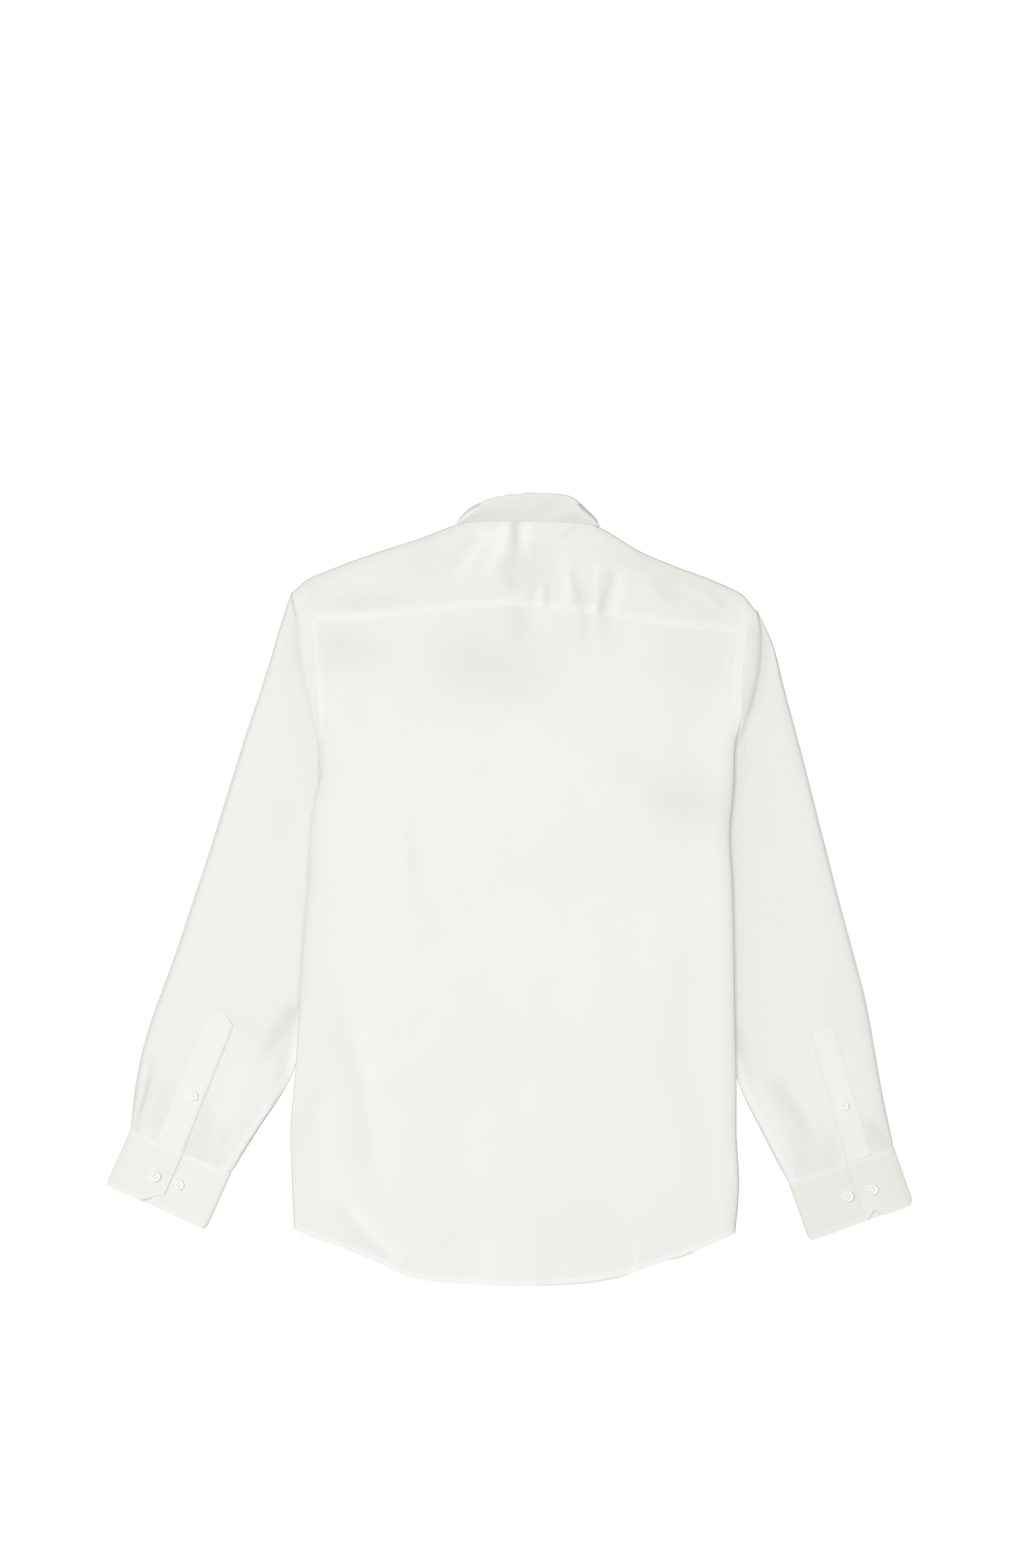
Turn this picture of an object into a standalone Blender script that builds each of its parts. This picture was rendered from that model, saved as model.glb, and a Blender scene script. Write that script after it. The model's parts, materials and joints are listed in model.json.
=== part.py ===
"""Long sleeve dress shirt, laid flat on its front with the back up.

The frame has its origin at the middle of the bounding box on the surface the shirt lies on: +X is the
wearer's right, +Y runs to the collar and +Z is up. Each cloth piece is a closed wall. A grid of points
on its middle surface is worked out from the sizes below, moved out by half the cloth's thickness on
both sides, and closed round its rim. Panels that lie on each other share one plan grid, so that the
upper one is the lower one's points moved up.
"""

import math

import bpy
import numpy as np
from mathutils import Vector
from mathutils.bvhtree import BVHTree

# ---------------------------------------------------------------- driving sizes, in millimetres
MM = 0.001
CLOTH = 1.0            # wall of the body and sleeves
STIFF = 1.4            # wall of the interlined collar and cuffs
GAP = 0.3              # clear space between neighbouring pieces
LAYER = CLOTH + GAP    # one cloth layer on the next
BAND_LIFT = 2.5        # the placket band stands on its buttons
SLEEVE_LIFT = 2.6      # the fronts lie on a flat sleeve of two layers
COLLAR_LIFT = 1.8      # the fronts lie on the collar's leaf
EDGE_LIFT = 2.6        # the top layer rounds up at its sides, armholes and shoulders
EDGE_ROUND = 2.5       # plan width of that rounding
YOKE_WRAP = 20.0       # how far the yoke comes forward of the shoulder fold
BUTTON_STAND_INSET = 2.0   # the right front stops this far inside the band's far edge
NECK_CLEAR = 2.0       # the fronts' neckline stands this far off the collar stand
ARMPIT_SHARE = 0.80    # share of the body's sides at which the sleeves go under
ROWS_BELOW = 13
ROWS_BESIDE = 4
YOKE_ROWS = 6
BAND_SHARE = 0.036     # half the placket band's width as a share of the body's width
COLUMN_SHARES = (0.0, 0.018, 0.05, 0.10, 0.16, 0.22, 0.28, 0.32, 0.345, 0.357, 0.372, 0.40, 0.43, 0.464, 0.5)
SLEEVE_RINGS = 15
SLEEVE_TUCKED = 4      # columns of a sleeve from the body's side inwards
SLEEVE_CLEAR = 4.0     # a sleeve rises from this far outside the body's side
ORIGIN = (0.94, 0.15)  # the middle of the whole shirt, which goes to the frame's origin
COLLAR_CENTRE = (19.3, 372.0)
COLLAR_TURN = -0.8     # the collar lies turned a little, in degrees
CUFF_HEIGHT = 62.5
BUTTON_SIDES = 10


def table(columns, *rows):
    """A table with named columns, as arrays."""
    return dict(zip(columns.split(), np.array(rows, float).T))


# The body's two sides, from the hem corners up to the ends of the yoke seam.
BODY_SIDES = table(
    "left_x left_y right_x right_y",
    (-218.8, -345.7, 230.6, -349.7),
    (-220.8, -301.5, 234.4, -305.0),
    (-222.1, -241.2, 231.6, -245.0),
    (-218.8, -201.0, 231.8, -203.2),
    (-213.2, -127.3, 227.6, -127.3),
    (-207.8, -51.3, 226.6, -51.0),
    (-202.3, 14.1, 221.5, 14.0),
    (-199.8, 62.0, 218.6, 56.0),
    (-195.5, 94.1, 222.7, 93.1),
    (-191.0, 110.0, 226.1, 114.0),
    (-190.4, 130.0, 226.5, 140.0),
    (-192.2, 150.5, 229.0, 158.0),
    (-194.2, 168.0, 234.2, 176.0),
    (-197.7, 201.8, 235.8, 200.0),
    (-200.3, 232.6, 237.5, 228.0),
    (-205.0, 273.3, 242.5, 258.5),
)
# The shaped hem, from the left side to the right.
HEM = table(
    "x y",
    (-218.8, -345.7),
    (-199.3, -354.4),
    (-165.8, -366.4),
    (-132.3, -380.4),
    (-115.6, -388.6),
    (-98.8, -395.3),
    (-82.1, -398.2),
    (-48.6, -401.3),
    (-15.1, -402.7),
    (51.9, -401.5),
    (85.4, -398.7),
    (118.9, -392.0),
    (152.4, -380.5),
    (185.9, -369.2),
    (219.4, -355.0),
    (230.6, -349.7),
)
# The arched seam between back and yoke.
YOKE_SEAM = table(
    "x y",
    (-205.0, 273.3),
    (-185.4, 272.8),
    (-128.5, 276.0),
    (-82.3, 280.0),
    (-43.9, 285.4),
    (5.0, 287.4),
    (27.1, 286.6),
    (64.9, 282.8),
    (100.8, 277.6),
    (158.9, 268.6),
    (242.5, 258.5),
)
# The shoulder folds and, between the neck corners, the back neck seam.
SHOULDERS = table(
    "x y",
    (-219.6, 302.6),
    (-207.4, 314.0),
    (-188.6, 322.7),
    (-167.8, 331.0),
    (-122.3, 347.0),
    (-95.5, 355.3),
    (-74.7, 363.0),
    (-57.3, 370.0),
    (-46.2, 373.6),
    (-30.0, 377.0),
    (-5.0, 379.2),
    (19.3, 379.8),
    (43.0, 378.6),
    (68.0, 375.6),
    (84.8, 371.6),
    (95.5, 366.8),
    (114.9, 355.1),
    (127.6, 347.1),
    (163.8, 331.0),
    (206.7, 314.9),
    (224.8, 306.9),
    (238.9, 298.8),
    (250.0, 285.0),
)
NECK_CURL = (64.3, 77.0)       # from the collar's centre, where the flat neck edge turns into the shoulder fold
NECK_STEP = 0.35               # row spacing at the flat neck edge
NECK_RIM = (8.4, 2.2, 66.0)   # height of the back neck seam at its middle, its fall, and where it has fallen

# How far the sleeves reach in under the body: the x of their inner edge at each y.
TUCKED_SLEEVES = table(
    "y left_x right_x",
    (-330.0, -310.0, 310.0),
    (-290.0, -283.0, 281.0),
    (-241.2, -253.6, 254.9),
    (-221.1, -239.5, 244.2),
    (-182.0, -217.5, 229.0),
    (-150.0, -208.0, 219.0),
    (-120.0, -192.0, 206.5),
    (-60.0, -165.0, 182.0),
    (0.0, -142.0, 160.0),
    (80.0, -150.0, 180.0),
    (150.0, -155.0, 190.0),
)
SLEEVE_BESIDE = (26.0, 62.0)       # the fronts come down to the surface between these distances from a sleeve
ARMPIT = (150.0, 176.0)            # y over which the fronts come down to the surface again

# Outer and inner edge of each sleeve, from the armhole to the cuff, and the fold beside the armhole seam.
SLEEVE_EDGES = {
    "left": {
        "outer": table(
            "x y",
            (-221.2, 301.5),
            (-226.1, 290.8),
            (-232.8, 266.7),
            (-246.2, 221.1),
            (-266.3, 160.8),
            (-285.1, 100.5),
            (-303.8, 40.2),
            (-323.9, -20.1),
            (-344.0, -80.4),
            (-359.5, -120.6),
            (-372.2, -160.8),
            (-380.2, -201.0),
            (-384.6, -243.6),
        ),
        "inner": table(
            "x y",
            (-156.0, 117.0),
            (-151.0, 80.0),
            (-146.0, 40.0),
            (-143.0, 0.0),
            (-165.0, -60.0),
            (-192.0, -120.0),
            (-209.0, -157.0),
            (-217.9, -182.2),
            (-226.8, -201.0),
            (-239.5, -221.1),
            (-253.6, -241.2),
            (-266.3, -261.3),
            (-283.2, -289.0),
        ),
        "fold": table(
            "y width",
            (100.0, 1.5),
            (152.0, 1.5),
            (169.0, 1.7),
            (192.0, 5.5),
            (217.0, 8.0),
            (250.0, 10.5),
            (284.0, 6.5),
            (303.0, 1.5),
        ),
        "underarm": table("x y", (-186.0, 137.0), (-173.0, 125.0), (-156.0, 117.0)),
    },
    "right": {
        "outer": table(
            "x y",
            (251.2, 283.4),
            (256.5, 276.0),
            (265.6, 257.0),
            (270.6, 236.0),
            (280.4, 201.0),
            (291.8, 160.8),
            (307.2, 100.5),
            (322.6, 40.2),
            (338.0, -20.1),
            (354.5, -80.4),
            (364.6, -120.6),
            (371.5, -160.8),
            (378.5, -201.0),
            (386.6, -241.2),
            (391.2, -261.3),
        ),
        "inner": table(
            "x y",
            (190.0, 112.0),
            (183.0, 80.0),
            (168.0, 46.0),
            (161.0, 8.0),
            (178.0, -49.0),
            (202.0, -108.0),
            (218.0, -147.0),
            (232.0, -192.0),
            (244.2, -221.1),
            (254.9, -241.2),
            (265.7, -261.3),
            (275.0, -281.4),
            (285.2, -298.2),
        ),
        "fold": table(
            "y width",
            (100.0, 1.5),
            (158.0, 1.5),
            (172.0, 3.0),
            (195.0, 8.0),
            (225.0, 12.5),
            (253.0, 10.5),
            (275.0, 5.0),
            (285.0, 1.5),
        ),
        "underarm": table("x y", (220.5, 127.0), (208.0, 118.0), (190.0, 112.0)),
    },
}

# Soft folds: a ridge, or a trough where the height is below zero, along a line from start to end.
BACK_FOLDS = table(
    "start_x start_y end_x end_y height width",
    (5.0, 358.0, 8.0, 316.0, -1.8, 6.0),
    (-8.0, 360.0, -4.0, 318.0, 1.6, 9.0),
    (20.0, 350.0, 26.0, 290.0, 1.8, 9.0),
    (82.0, 345.0, 74.0, 285.0, 1.8, 10.0),
    (105.0, 330.0, 98.0, 283.0, -1.6, 8.0),
    (-14.0, 335.0, -62.0, 292.0, 1.6, 14.0),
    (-190.0, 250.0, -130.0, 235.0, -1.2, 22.0),
    (-97.0, 90.0, -93.0, -20.0, -1.2, 10.0),
    (-179.0, -80.0, -130.0, -330.0, -1.7, 16.0),
    (-158.0, -90.0, -108.0, -320.0, 2.0, 18.0),
    (-172.0, -330.0, -112.0, -386.0, 1.8, 10.0),
    (138.0, -350.0, 131.0, -383.0, 1.8, 8.0),
    (-60.0, 240.0, 50.0, 236.0, -1.2, 36.0),
    (108.0, 120.0, 132.0, 40.0, -1.2, 20.0),
)
SLEEVE_FOLDS = {
    "left": table(
        "start_x start_y end_x end_y height width",
        (-366.0, -150.0, -379.0, -240.0, 1.6, 6.0),
        (-355.0, -150.0, -370.0, -240.0, -2.4, 8.0),
        (-222.0, -100.0, -252.0, -195.0, -2.6, 16.0),
        (-262.0, -150.0, -300.0, -270.0, 1.6, 14.0),
    ),
    "right": table(
        "start_x start_y end_x end_y height width",
        (268.0, -180.0, 313.0, -270.0, -2.8, 9.0),
        (252.0, -185.0, 296.0, -285.0, 1.8, 10.0),
        (366.0, -225.0, 386.0, -262.0, -2.4, 9.0),
        (252.0, 150.0, 262.0, 20.0, -1.2, 18.0),
    ),
}

# Collar sections from centre back (first) round one side to centre front (last): the roll line, the
# leaf's free edge and the neck seam, each as distance from the collar's centre line, y and height.
COLLAR = table(
    "turn roll_x roll_y roll_z edge_x edge_y edge_z seam_x seam_y seam_z bulge",
    (0, 0.0, 402.2, 24.0, 0.0, 374.6, 10.4, 0.0, 380.9, 8.3, 2.5),
    (20, 18.0, 401.4, 23.0, 27.0, 374.5, 10.2, 26.0, 380.3, 8.0, 2.5),
    (40, 33.0, 398.6, 20.0, 50.0, 373.8, 9.6, 44.0, 379.2, 7.4, 3.0),
    (55, 42.5, 395.0, 16.5, 63.0, 372.6, 8.8, 54.5, 377.8, 7.2, 3.5),
    (62, 46.0, 392.3, 14.2, 67.0, 372.4, 8.5, 60.0, 377.0, 6.9, 4.0),
    (81, 48.5, 390.0, 9.0, 75.6, 373.8, 4.1, 61.6, 376.0, 4.2, 3.5),
    (87, 50.2, 385.5, 6.6, 77.6, 372.8, 2.6, 63.3, 372.8, 3.9, 2.8),
    (94, 50.0, 378.5, 5.0, 79.5, 370.8, 1.3, 63.9, 365.5, 3.6, 1.8),
    (108, 47.0, 369.5, 3.7, 84.0, 356.0, 0.7, 62.5, 353.0, 3.2, 0.0),
    (125, 41.0, 358.5, 3.2, 84.0, 335.0, 0.7, 57.0, 338.0, 3.1, 0.0),
    (145, 29.5, 345.5, 3.1, 78.0, 310.0, 0.7, 42.0, 317.5, 3.1, 0.0),
    (165, 13.0, 334.5, 3.1, 64.0, 281.0, 0.7, 19.0, 302.8, 3.1, 0.0),
    (178, 3.2, 330.5, 3.1, 54.0, 264.0, 0.7, 3.5, 299.0, 3.1, 0.0),
    (188, -9.0, 330.5, 3.1, 48.0, 258.0, 0.7, -10.0, 299.2, 3.1, 0.0),
)
LEAF_TURNS = (0, 11, 22, 33, 44, 54, 62, 69, 75, 81, 87, 94, 103, 114, 126, 139, 152, 165, 177)
STAND_SKIPS = (69, 75)   # the stand folds at its sides between the turns before and after these
STAND_END = 187.0      # the stand's ends lap at the centre front
STAND_LAP = 1.8        # the right end lies on the left one
ROLL_ROUND = 1.3       # radius of the leaf's roll

# Each cuff is one strip round the wrist: outer top corner, inner top corner, where the over end and the
# under end stop across the top, and the two buttons as across and down from the outer top corner.
CUFFS = {
    "left": {
        "outer": (-384.6, -243.9),
        "inner": (-282.9, -289.6),
        "over_end": 58.0,
        "under_end": 37.0,
        "buttons": ((42.3, 33.6), (67.7, 31.9)),
    },
    "right": {
        "outer": (391.3, -261.6),
        "inner": (285.0, -299.0),
        "over_end": 50.5,
        "under_end": 30.0,
        "buttons": ((34.4, 34.1), (60.1, 32.6)),
    },
}
MITRE = (20.0, 16.5)   # the cut corner of each cuff end, along and up

# Towers, from apex to cuff seam.
TOWERS = {
    "left": {
        "apex": (-288.8, -125.0),
        "corners": ((-304.6, -130.5), (-280.4, -138.8)),
        "ends": ((-356.6, -253.6), (-330.8, -265.2)),
        "button": (-320.7, -210.2),
    },
    "right": {
        "apex": (315.4, -134.2),
        "corners": ((305.6, -145.6), (329.6, -139.9)),
        "ends": ((343.0, -276.4), (368.4, -267.6)),
        "button": (341.0, -220.2),
    },
}
TOWER_ROWS = 11

# Buttons: radius and thickness.
CUFF_BUTTON = (5.7, 2.4)
SMALL_BUTTON = (4.7, 2.1)
FRONT_BUTTONS = 7
FRONT_BUTTON_TOP = 262.0
FRONT_BUTTON_PITCH = 88.0
COLLAR_BUTTON_Y = 312.0

# Colours: red, green, blue, roughness
CLOTH_FINISH = (0.86, 0.865, 0.84, 0.82)
BUTTON_FINISH = (0.80, 0.80, 0.77, 0.32)


# ---------------------------------------------------------------- curves and fields
def smooth(start, end, value):
    """0 before start and 1 after end, with a soft change between; start may be the larger."""
    share = np.clip((np.asarray(value, float) - start) / (end - start), 0.0, 1.0)
    return share * share * (3.0 - 2.0 * share)


def unit(vectors):
    return vectors / np.linalg.norm(vectors, axis=-1, keepdims=True)


def curve(x, y):
    """A smooth function through the points x, y."""
    slope = np.gradient(y, x)

    def at(value):
        value = np.clip(value, x[0], x[-1])
        i = np.clip(np.searchsorted(x, value) - 1, 0, len(x) - 2)
        step = x[i + 1] - x[i]
        t = (value - x[i]) / step
        rise = (1 - t) ** 2 * (1 + 2 * t) * y[i] + t**2 * (3 - 2 * t) * y[i + 1]
        return rise + step * (t * (1 - t) ** 2 * slope[i] - t**2 * (1 - t) * slope[i + 1])

    return at


def path(x, y):
    """A smooth plan path through the points, read at a share of its length."""
    length = np.concatenate([[0.0], np.cumsum(np.hypot(np.diff(x), np.diff(y)))])
    length /= length[-1]
    along_x, along_y = curve(length, x), curve(length, y)
    return lambda share: np.stack([along_x(share), along_y(share)], axis=-1)


def spans(points):
    """A table's function y of x, read at shares of its width."""
    line = curve(points["x"], points["y"])

    def at(share):
        x = points["x"][0] + share * (points["x"][-1] - points["x"][0])
        return np.stack([x, line(x)], axis=-1)

    return at


def patch(bottom, top, left, right, across, up):
    """A plan grid spanned by four edge curves that share their corners (a Coons patch)."""
    low, high = bottom(across)[None], top(across)[None]
    start, end = left(up)[:, None], right(up)[:, None]
    u, v = across[None, :, None], up[:, None, None]
    corners = (1 - v) * ((1 - u) * low[:, :1] + u * low[:, -1:])
    corners = corners + v * ((1 - u) * high[:, :1] + u * high[:, -1:])
    return (1 - v) * low + v * high + (1 - u) * start + u * end - corners


def folds(x, y, lines):
    """The height that soft folds add: a bell across each line, fading out at its two ends."""
    height = np.zeros_like(x)
    for start_x, start_y, end_x, end_y, rise, width in zip(*lines.values()):
        run = np.array([end_x - start_x, end_y - start_y])
        length = math.hypot(*run)
        along = ((x - start_x) * run[0] + (y - start_y) * run[1]) / length**2
        aside = ((x - start_x) * run[1] - (y - start_y) * run[0]) / length
        fade = smooth(-0.12, 0.22, along) * smooth(1.12, 0.78, along)
        height = height + rise * fade * np.exp(-((aside / width) ** 2))
    return height


# ---------------------------------------------------------------- solids
def finish(name, red, green, blue, roughness):
    """A plain finish with its own name."""
    material = bpy.data.materials.new(name)
    material.use_nodes = True
    shader = material.node_tree.nodes["Principled BSDF"]
    shader.inputs["Base Color"].default_value = (red, green, blue, 1.0)
    shader.inputs["Roughness"].default_value = roughness
    shader.inputs["Metallic"].default_value = 0.0
    return material


def add_object(name, points, faces, look):
    """One named object from points in millimetres."""
    mesh = bpy.data.meshes.new(name)
    mesh.from_pydata(((np.asarray(points) - np.array([*ORIGIN, 0.0])) * MM).tolist(), [], faces)
    mesh.shade_smooth()
    mesh.set_sharp_from_angle(angle=math.radians(40))
    mesh.materials.append(finish(name + "_finish", *look))
    piece = bpy.data.objects.new(name, mesh)
    bpy.context.scene.collection.objects.link(piece)
    return piece


def grid_normals(grid, closed):
    """Unit normals at the points of a grid [row, column, xyz]; closed joins the last column to the first."""
    ahead = np.roll(grid, -1, axis=1) if closed else grid[:, 1:]
    here = grid if closed else grid[:, :-1]
    first = ahead[1:] - here[:-1]
    second = here[1:] - ahead[:-1]
    face = np.cross(first, second)
    total = np.zeros_like(grid)
    if closed:
        for part, rows in ((face, slice(None, -1)), (face, slice(1, None))):
            total[rows] += part + np.roll(part, 1, axis=1)
    else:
        for rows in (slice(None, -1), slice(1, None)):
            total[rows, :-1] += face
            total[rows, 1:] += face
    return total / np.linalg.norm(total, axis=2, keepdims=True)


def wall(name, grid, thickness, look, closed=False):
    """A closed wall of the given thickness about a grid of middle points."""
    normal = grid_normals(grid, closed)
    points = np.concatenate([grid + normal * thickness / 2, grid - normal * thickness / 2]).reshape(-1, 3)
    rows, columns = grid.shape[:2]
    index = np.arange(rows * columns).reshape(rows, columns)
    under = rows * columns
    if closed:
        index = np.concatenate([index, index[:, :1]], axis=1)
    quads = np.stack([index[:-1, :-1], index[:-1, 1:], index[1:, 1:], index[1:, :-1]], axis=-1).reshape(-1, 4)
    faces = quads.tolist() + (quads + under)[:, [0, 3, 2, 1]].tolist()
    rim = [index[0], index[-1, ::-1]]
    if not closed:
        rim += [index[::-1, 0], index[:, -1]]
    for edge in rim:
        faces += [[b, a, a + under, b + under] for a, b in zip(edge[:-1].tolist(), edge[1:].tolist())]
    return add_object(name, points, faces, look)


def drape_tree(pieces):
    """A lookup of the surfaces of finished pieces, in millimetres."""
    shift = Vector((*ORIGIN, 0.0))
    points, faces = [], []
    for piece in pieces:
        start = len(points)
        points += [tuple(v.co / MM + shift) for v in piece.data.vertices]
        faces += [[start + i for i in polygon.vertices] for polygon in piece.data.polygons]
    return BVHTree.FromPolygons(points, faces)


def surface_height(tree, x, y):
    """The height of the topmost cloth at a plan point, or zero beside it."""
    hit = tree.ray_cast((float(x), float(y), 200.0), (0.0, 0.0, -1.0))[0]
    return hit.z if hit else 0.0


# ---------------------------------------------------------------- the body's plan and layers
def body_plan():
    """Plan grids of the body below and above the yoke seam, and the share across of each column."""
    half = np.array(COLUMN_SHARES)
    across = np.concatenate([half, 1.0 - half[-2::-1]])
    left = path(BODY_SIDES["left_x"], BODY_SIDES["left_y"])
    right = path(BODY_SIDES["right_x"], BODY_SIDES["right_y"])
    seam = spans(YOKE_SEAM)
    rows = np.concatenate(
        [np.linspace(0.0, ARMPIT_SHARE, ROWS_BELOW + 1), np.linspace(ARMPIT_SHARE, 1.0, ROWS_BESIDE + 1)[1:]]
    )
    lower = patch(spans(HEM), seam, left, right, across, rows)
    top = spans(SHOULDERS)
    ends = np.array([0.0, 1.0])
    low, high = seam(ends), top(ends)
    upper = patch(
        seam,
        top,
        lambda v: low[0] + np.outer(v, high[0] - low[0]),
        lambda v: low[1] + np.outer(v, high[1] - low[1]),
        across,
        np.linspace(0.0, 1.0, YOKE_ROWS + 1),
    )
    return across, lower, upper


def front_lift(across, x, y):
    """Height of the fronts' underside: over the sleeves, over the buttons and over the collar's leaf."""
    tucked_left = curve(TUCKED_SLEEVES["y"], TUCKED_SLEEVES["left_x"])(y)
    tucked_right = curve(TUCKED_SLEEVES["y"], TUCKED_SLEEVES["right_x"])(y)
    below_armhole = smooth(ARMPIT[1], ARMPIT[0], y)
    near, far = SLEEVE_BESIDE
    over_left = smooth(tucked_left + far, tucked_left + near, x)
    over_right = smooth(tucked_right - far, tucked_right - near, x)
    sleeves = SLEEVE_LIFT * below_armhole * np.maximum(over_left, over_right)
    band = BAND_LIFT * smooth(3.4 * BAND_SHARE, 1.15 * BAND_SHARE, np.abs(across - 0.5))
    leaf = COLLAR_LIFT * smooth(0.20, 0.27, across) * smooth(0.80, 0.73, across) * smooth(215.0, 258.0, y)
    return np.maximum(sleeves, np.maximum(band, leaf))


def lap_lift(across):
    """Height that the right front adds where it lies on the placket band."""
    return LAYER * smooth(2.4 * BAND_SHARE, 1.15 * BAND_SHARE, np.abs(across - 0.5))


def top_height(across, x, y, edge_share):
    """Middle height of the back and yoke: on the fronts, rounded up at the edges, with the largest folds."""
    stack = front_lift(across, x, y) + LAYER + lap_lift(across) + CLOTH / 2
    neck = 2.6 * smooth(0.30, 0.37, across) * smooth(0.72, 0.65, across) * smooth(268.0, 300.0, y)
    inside = 1.0 - edge_share
    loft = 1.6 * smooth(0.02, 0.2, np.minimum(across, 1 - across)) * smooth(-400.0, -330.0, y)
    loft = np.maximum(loft, neck)
    shaped = folds(x, y, BACK_FOLDS) * inside
    return stack + np.maximum(loft + shaped, 0.0) * inside + EDGE_LIFT * edge_share


def rounded_sides(plan, height, drop, foot):
    """Adds the columns that turn each side of the top layer down to the foot height.

    drop is 0 where the side ends flat, at the armhole, and 1 where it turns down to the side seam.
    """
    grid = np.dstack([plan, height])
    quarter = np.radians([30.0, 60.0, 90.0])
    sides = []
    for column, outward in ((0, -1.0), (-1, 1.0)):
        edge = grid[:, column]
        inner_x = edge[:, 0] - outward * (EDGE_ROUND + CLOTH / 2)
        fall = edge[:, 2] - foot[:, column]
        round_z = np.minimum(EDGE_ROUND, fall - 0.6)
        turned = []
        for angle in quarter:
            x = inner_x + outward * EDGE_ROUND * math.sin(angle)
            turned.append((x, edge[:, 2] - round_z * (1 - math.cos(angle))))
        turned.append((inner_x + outward * EDGE_ROUND, foot[:, column]))
        columns = [np.stack([inner_x, edge[:, 1], edge[:, 2]], axis=-1)]
        for step, (x, z) in enumerate(turned, start=1):
            flat_x = inner_x + outward * (EDGE_ROUND + CLOTH / 2) * step / len(turned)
            columns.append(
                np.stack([flat_x + drop * (x - flat_x), edge[:, 1], edge[:, 2] + drop * (z - edge[:, 2])], axis=-1)
            )
        sides.append(columns)
    left, right = sides
    return np.stack(left[::-1] + [grid[:, j] for j in range(1, grid.shape[1] - 1)] + right, axis=1)


def yoke_wrap(x):
    """How far the yoke comes forward of the shoulder fold; nothing is left of it at the neck corners."""
    aside = np.abs(x - COLLAR_CENTRE[0])
    return YOKE_WRAP * smooth(NECK_CURL[1] + 4.0, NECK_CURL[1] + 36.0, aside)


def shoulder_inward(across, upper):
    """Plan direction from the shoulder into the yoke: square to it, and along the armhole at its ends."""
    line = curve(SHOULDERS["x"], SHOULDERS["y"])
    x = upper[-1, :, 0]
    slope = (line(x + 1.0) - line(x - 1.0)) / 2.0
    square = unit(np.stack([slope, -np.ones_like(x)], axis=-1))
    left, right = unit(upper[0, 0] - upper[-1, 0]), unit(upper[0, -1] - upper[-1, -1])
    armhole = np.where(across[:, None] < 0.5, left, right)
    inside = smooth(0.0, 0.12, np.minimum(across, 1 - across))[:, None]
    return unit(armhole + (square - armhole) * inside)


def make_back(across, plan):
    """The back, from the hem to the yoke seam."""
    plan = plan.copy()
    plan[-1, :, 1] -= GAP / 2
    x, y = plan[..., 0], plan[..., 1]
    share = np.broadcast_to(across, x.shape)
    edge_share = 1.0 - smooth(0.0, 0.07, np.minimum(share, 1 - share))
    height = top_height(share, x, y, edge_share)
    drop = smooth(ARMPIT[1], ARMPIT[0], y[:, 0])
    return wall("back", rounded_sides(plan, height, drop, front_lift(share, x, y)), CLOTH, CLOTH_FINISH)


def make_yoke(across, plan):
    """The yoke, from the back seam over both shoulders, and up to the neck seam between them."""
    plan = plan.copy()
    plan[0, :, 1] += GAP / 2
    x, y = plan[..., 0], plan[..., 1]
    share = np.broadcast_to(across, x.shape)
    up = np.linspace(0.0, 1.0, YOKE_ROWS + 1)[:, None]
    side_share = 1.0 - smooth(0.0, 0.07, np.minimum(share, 1 - share))
    edge_share = np.maximum(side_share, smooth(0.62, 1.0, np.broadcast_to(up, x.shape)))
    height = top_height(share, x, y, edge_share)
    foot = front_lift(share, x, y) + CLOTH / 2
    high, fall, reach = NECK_RIM
    aside = np.abs(x - COLLAR_CENTRE[0]) / reach
    rim = high - fall * np.minimum(aside, 1.3) ** 2
    near_neck = smooth(338.0, 376.0, y) * smooth(1.5, 1.0, aside)
    height = height + np.maximum(rim - height, 0.0) * near_neck
    grid = np.dstack([plan, height])
    inward = np.column_stack([shoulder_inward(across, plan), np.zeros(len(across))])
    down = np.array([0.0, 0.0, -1.0])
    curl = np.maximum(smooth(*NECK_CURL, np.abs(x[-1] - COLLAR_CENTRE[0])), 0.01)[:, None]
    turn = np.maximum((grid[-1, :, 2] - foot[-1])[:, None] / 2.0, 4 * NECK_STEP / (math.pi * curl))
    full = math.pi * curl
    reach = turn * np.sin(np.minimum(full, math.pi / 2)) + CLOTH / 2
    edge = grid[-1] + inward * reach
    rows = [edge]
    for quarter in (0.25, 0.5, 0.75, 1.0):
        rows.append(edge - inward * turn * np.sin(full * quarter) + down * turn * (1 - np.cos(full * quarter)))
    onward = down * np.sin(full) - inward * np.cos(full)
    for step in (0.5, 1.0):
        rows.append(rows[4] + onward * (2 * NECK_STEP + yoke_wrap(x[-1])[:, None]) * step)
    grid = np.concatenate([grid[:-1], np.stack(rows)])
    grid[:, 0, 0] += 0.02
    grid[:, -1, 0] -= 0.02
    return wall("yoke", grid, CLOTH, CLOTH_FINISH)


def front_plan(across, lower, upper):
    """The fronts' plan: the body's columns, ending at the yoke's strips and, between them, at the neckline."""
    seam, shoulder = upper[0], upper[-1]
    deep = (EDGE_LIFT + LAYER) / 2 + CLOTH / 2 + 2 * NECK_STEP + 2 * GAP + yoke_wrap(shoulder[:, 0])
    top = shoulder + shoulder_inward(across, upper) * deep[:, None]
    turns = np.concatenate([np.linspace(-100.0, -178.0, 16), np.linspace(178.0, 100.0, 16)])
    neck = set_collar(collar_lines(turns)["seam"])[:, :2]
    neck = neck + unit(neck - np.array(COLLAR_CENTRE)) * NECK_CLEAR
    at_neck = (shoulder[:, 0] > neck[0, 0]) & (shoulder[:, 0] < neck[-1, 0])
    top[at_neck, 0] = shoulder[at_neck, 0]
    top[at_neck, 1] = np.interp(shoulder[at_neck, 0], neck[:, 0], neck[:, 1])
    rise = np.linspace(0.0, 1.0, YOKE_ROWS + 1)[1:, None, None]
    return np.concatenate([lower, seam + (top - seam) * rise])


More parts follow.
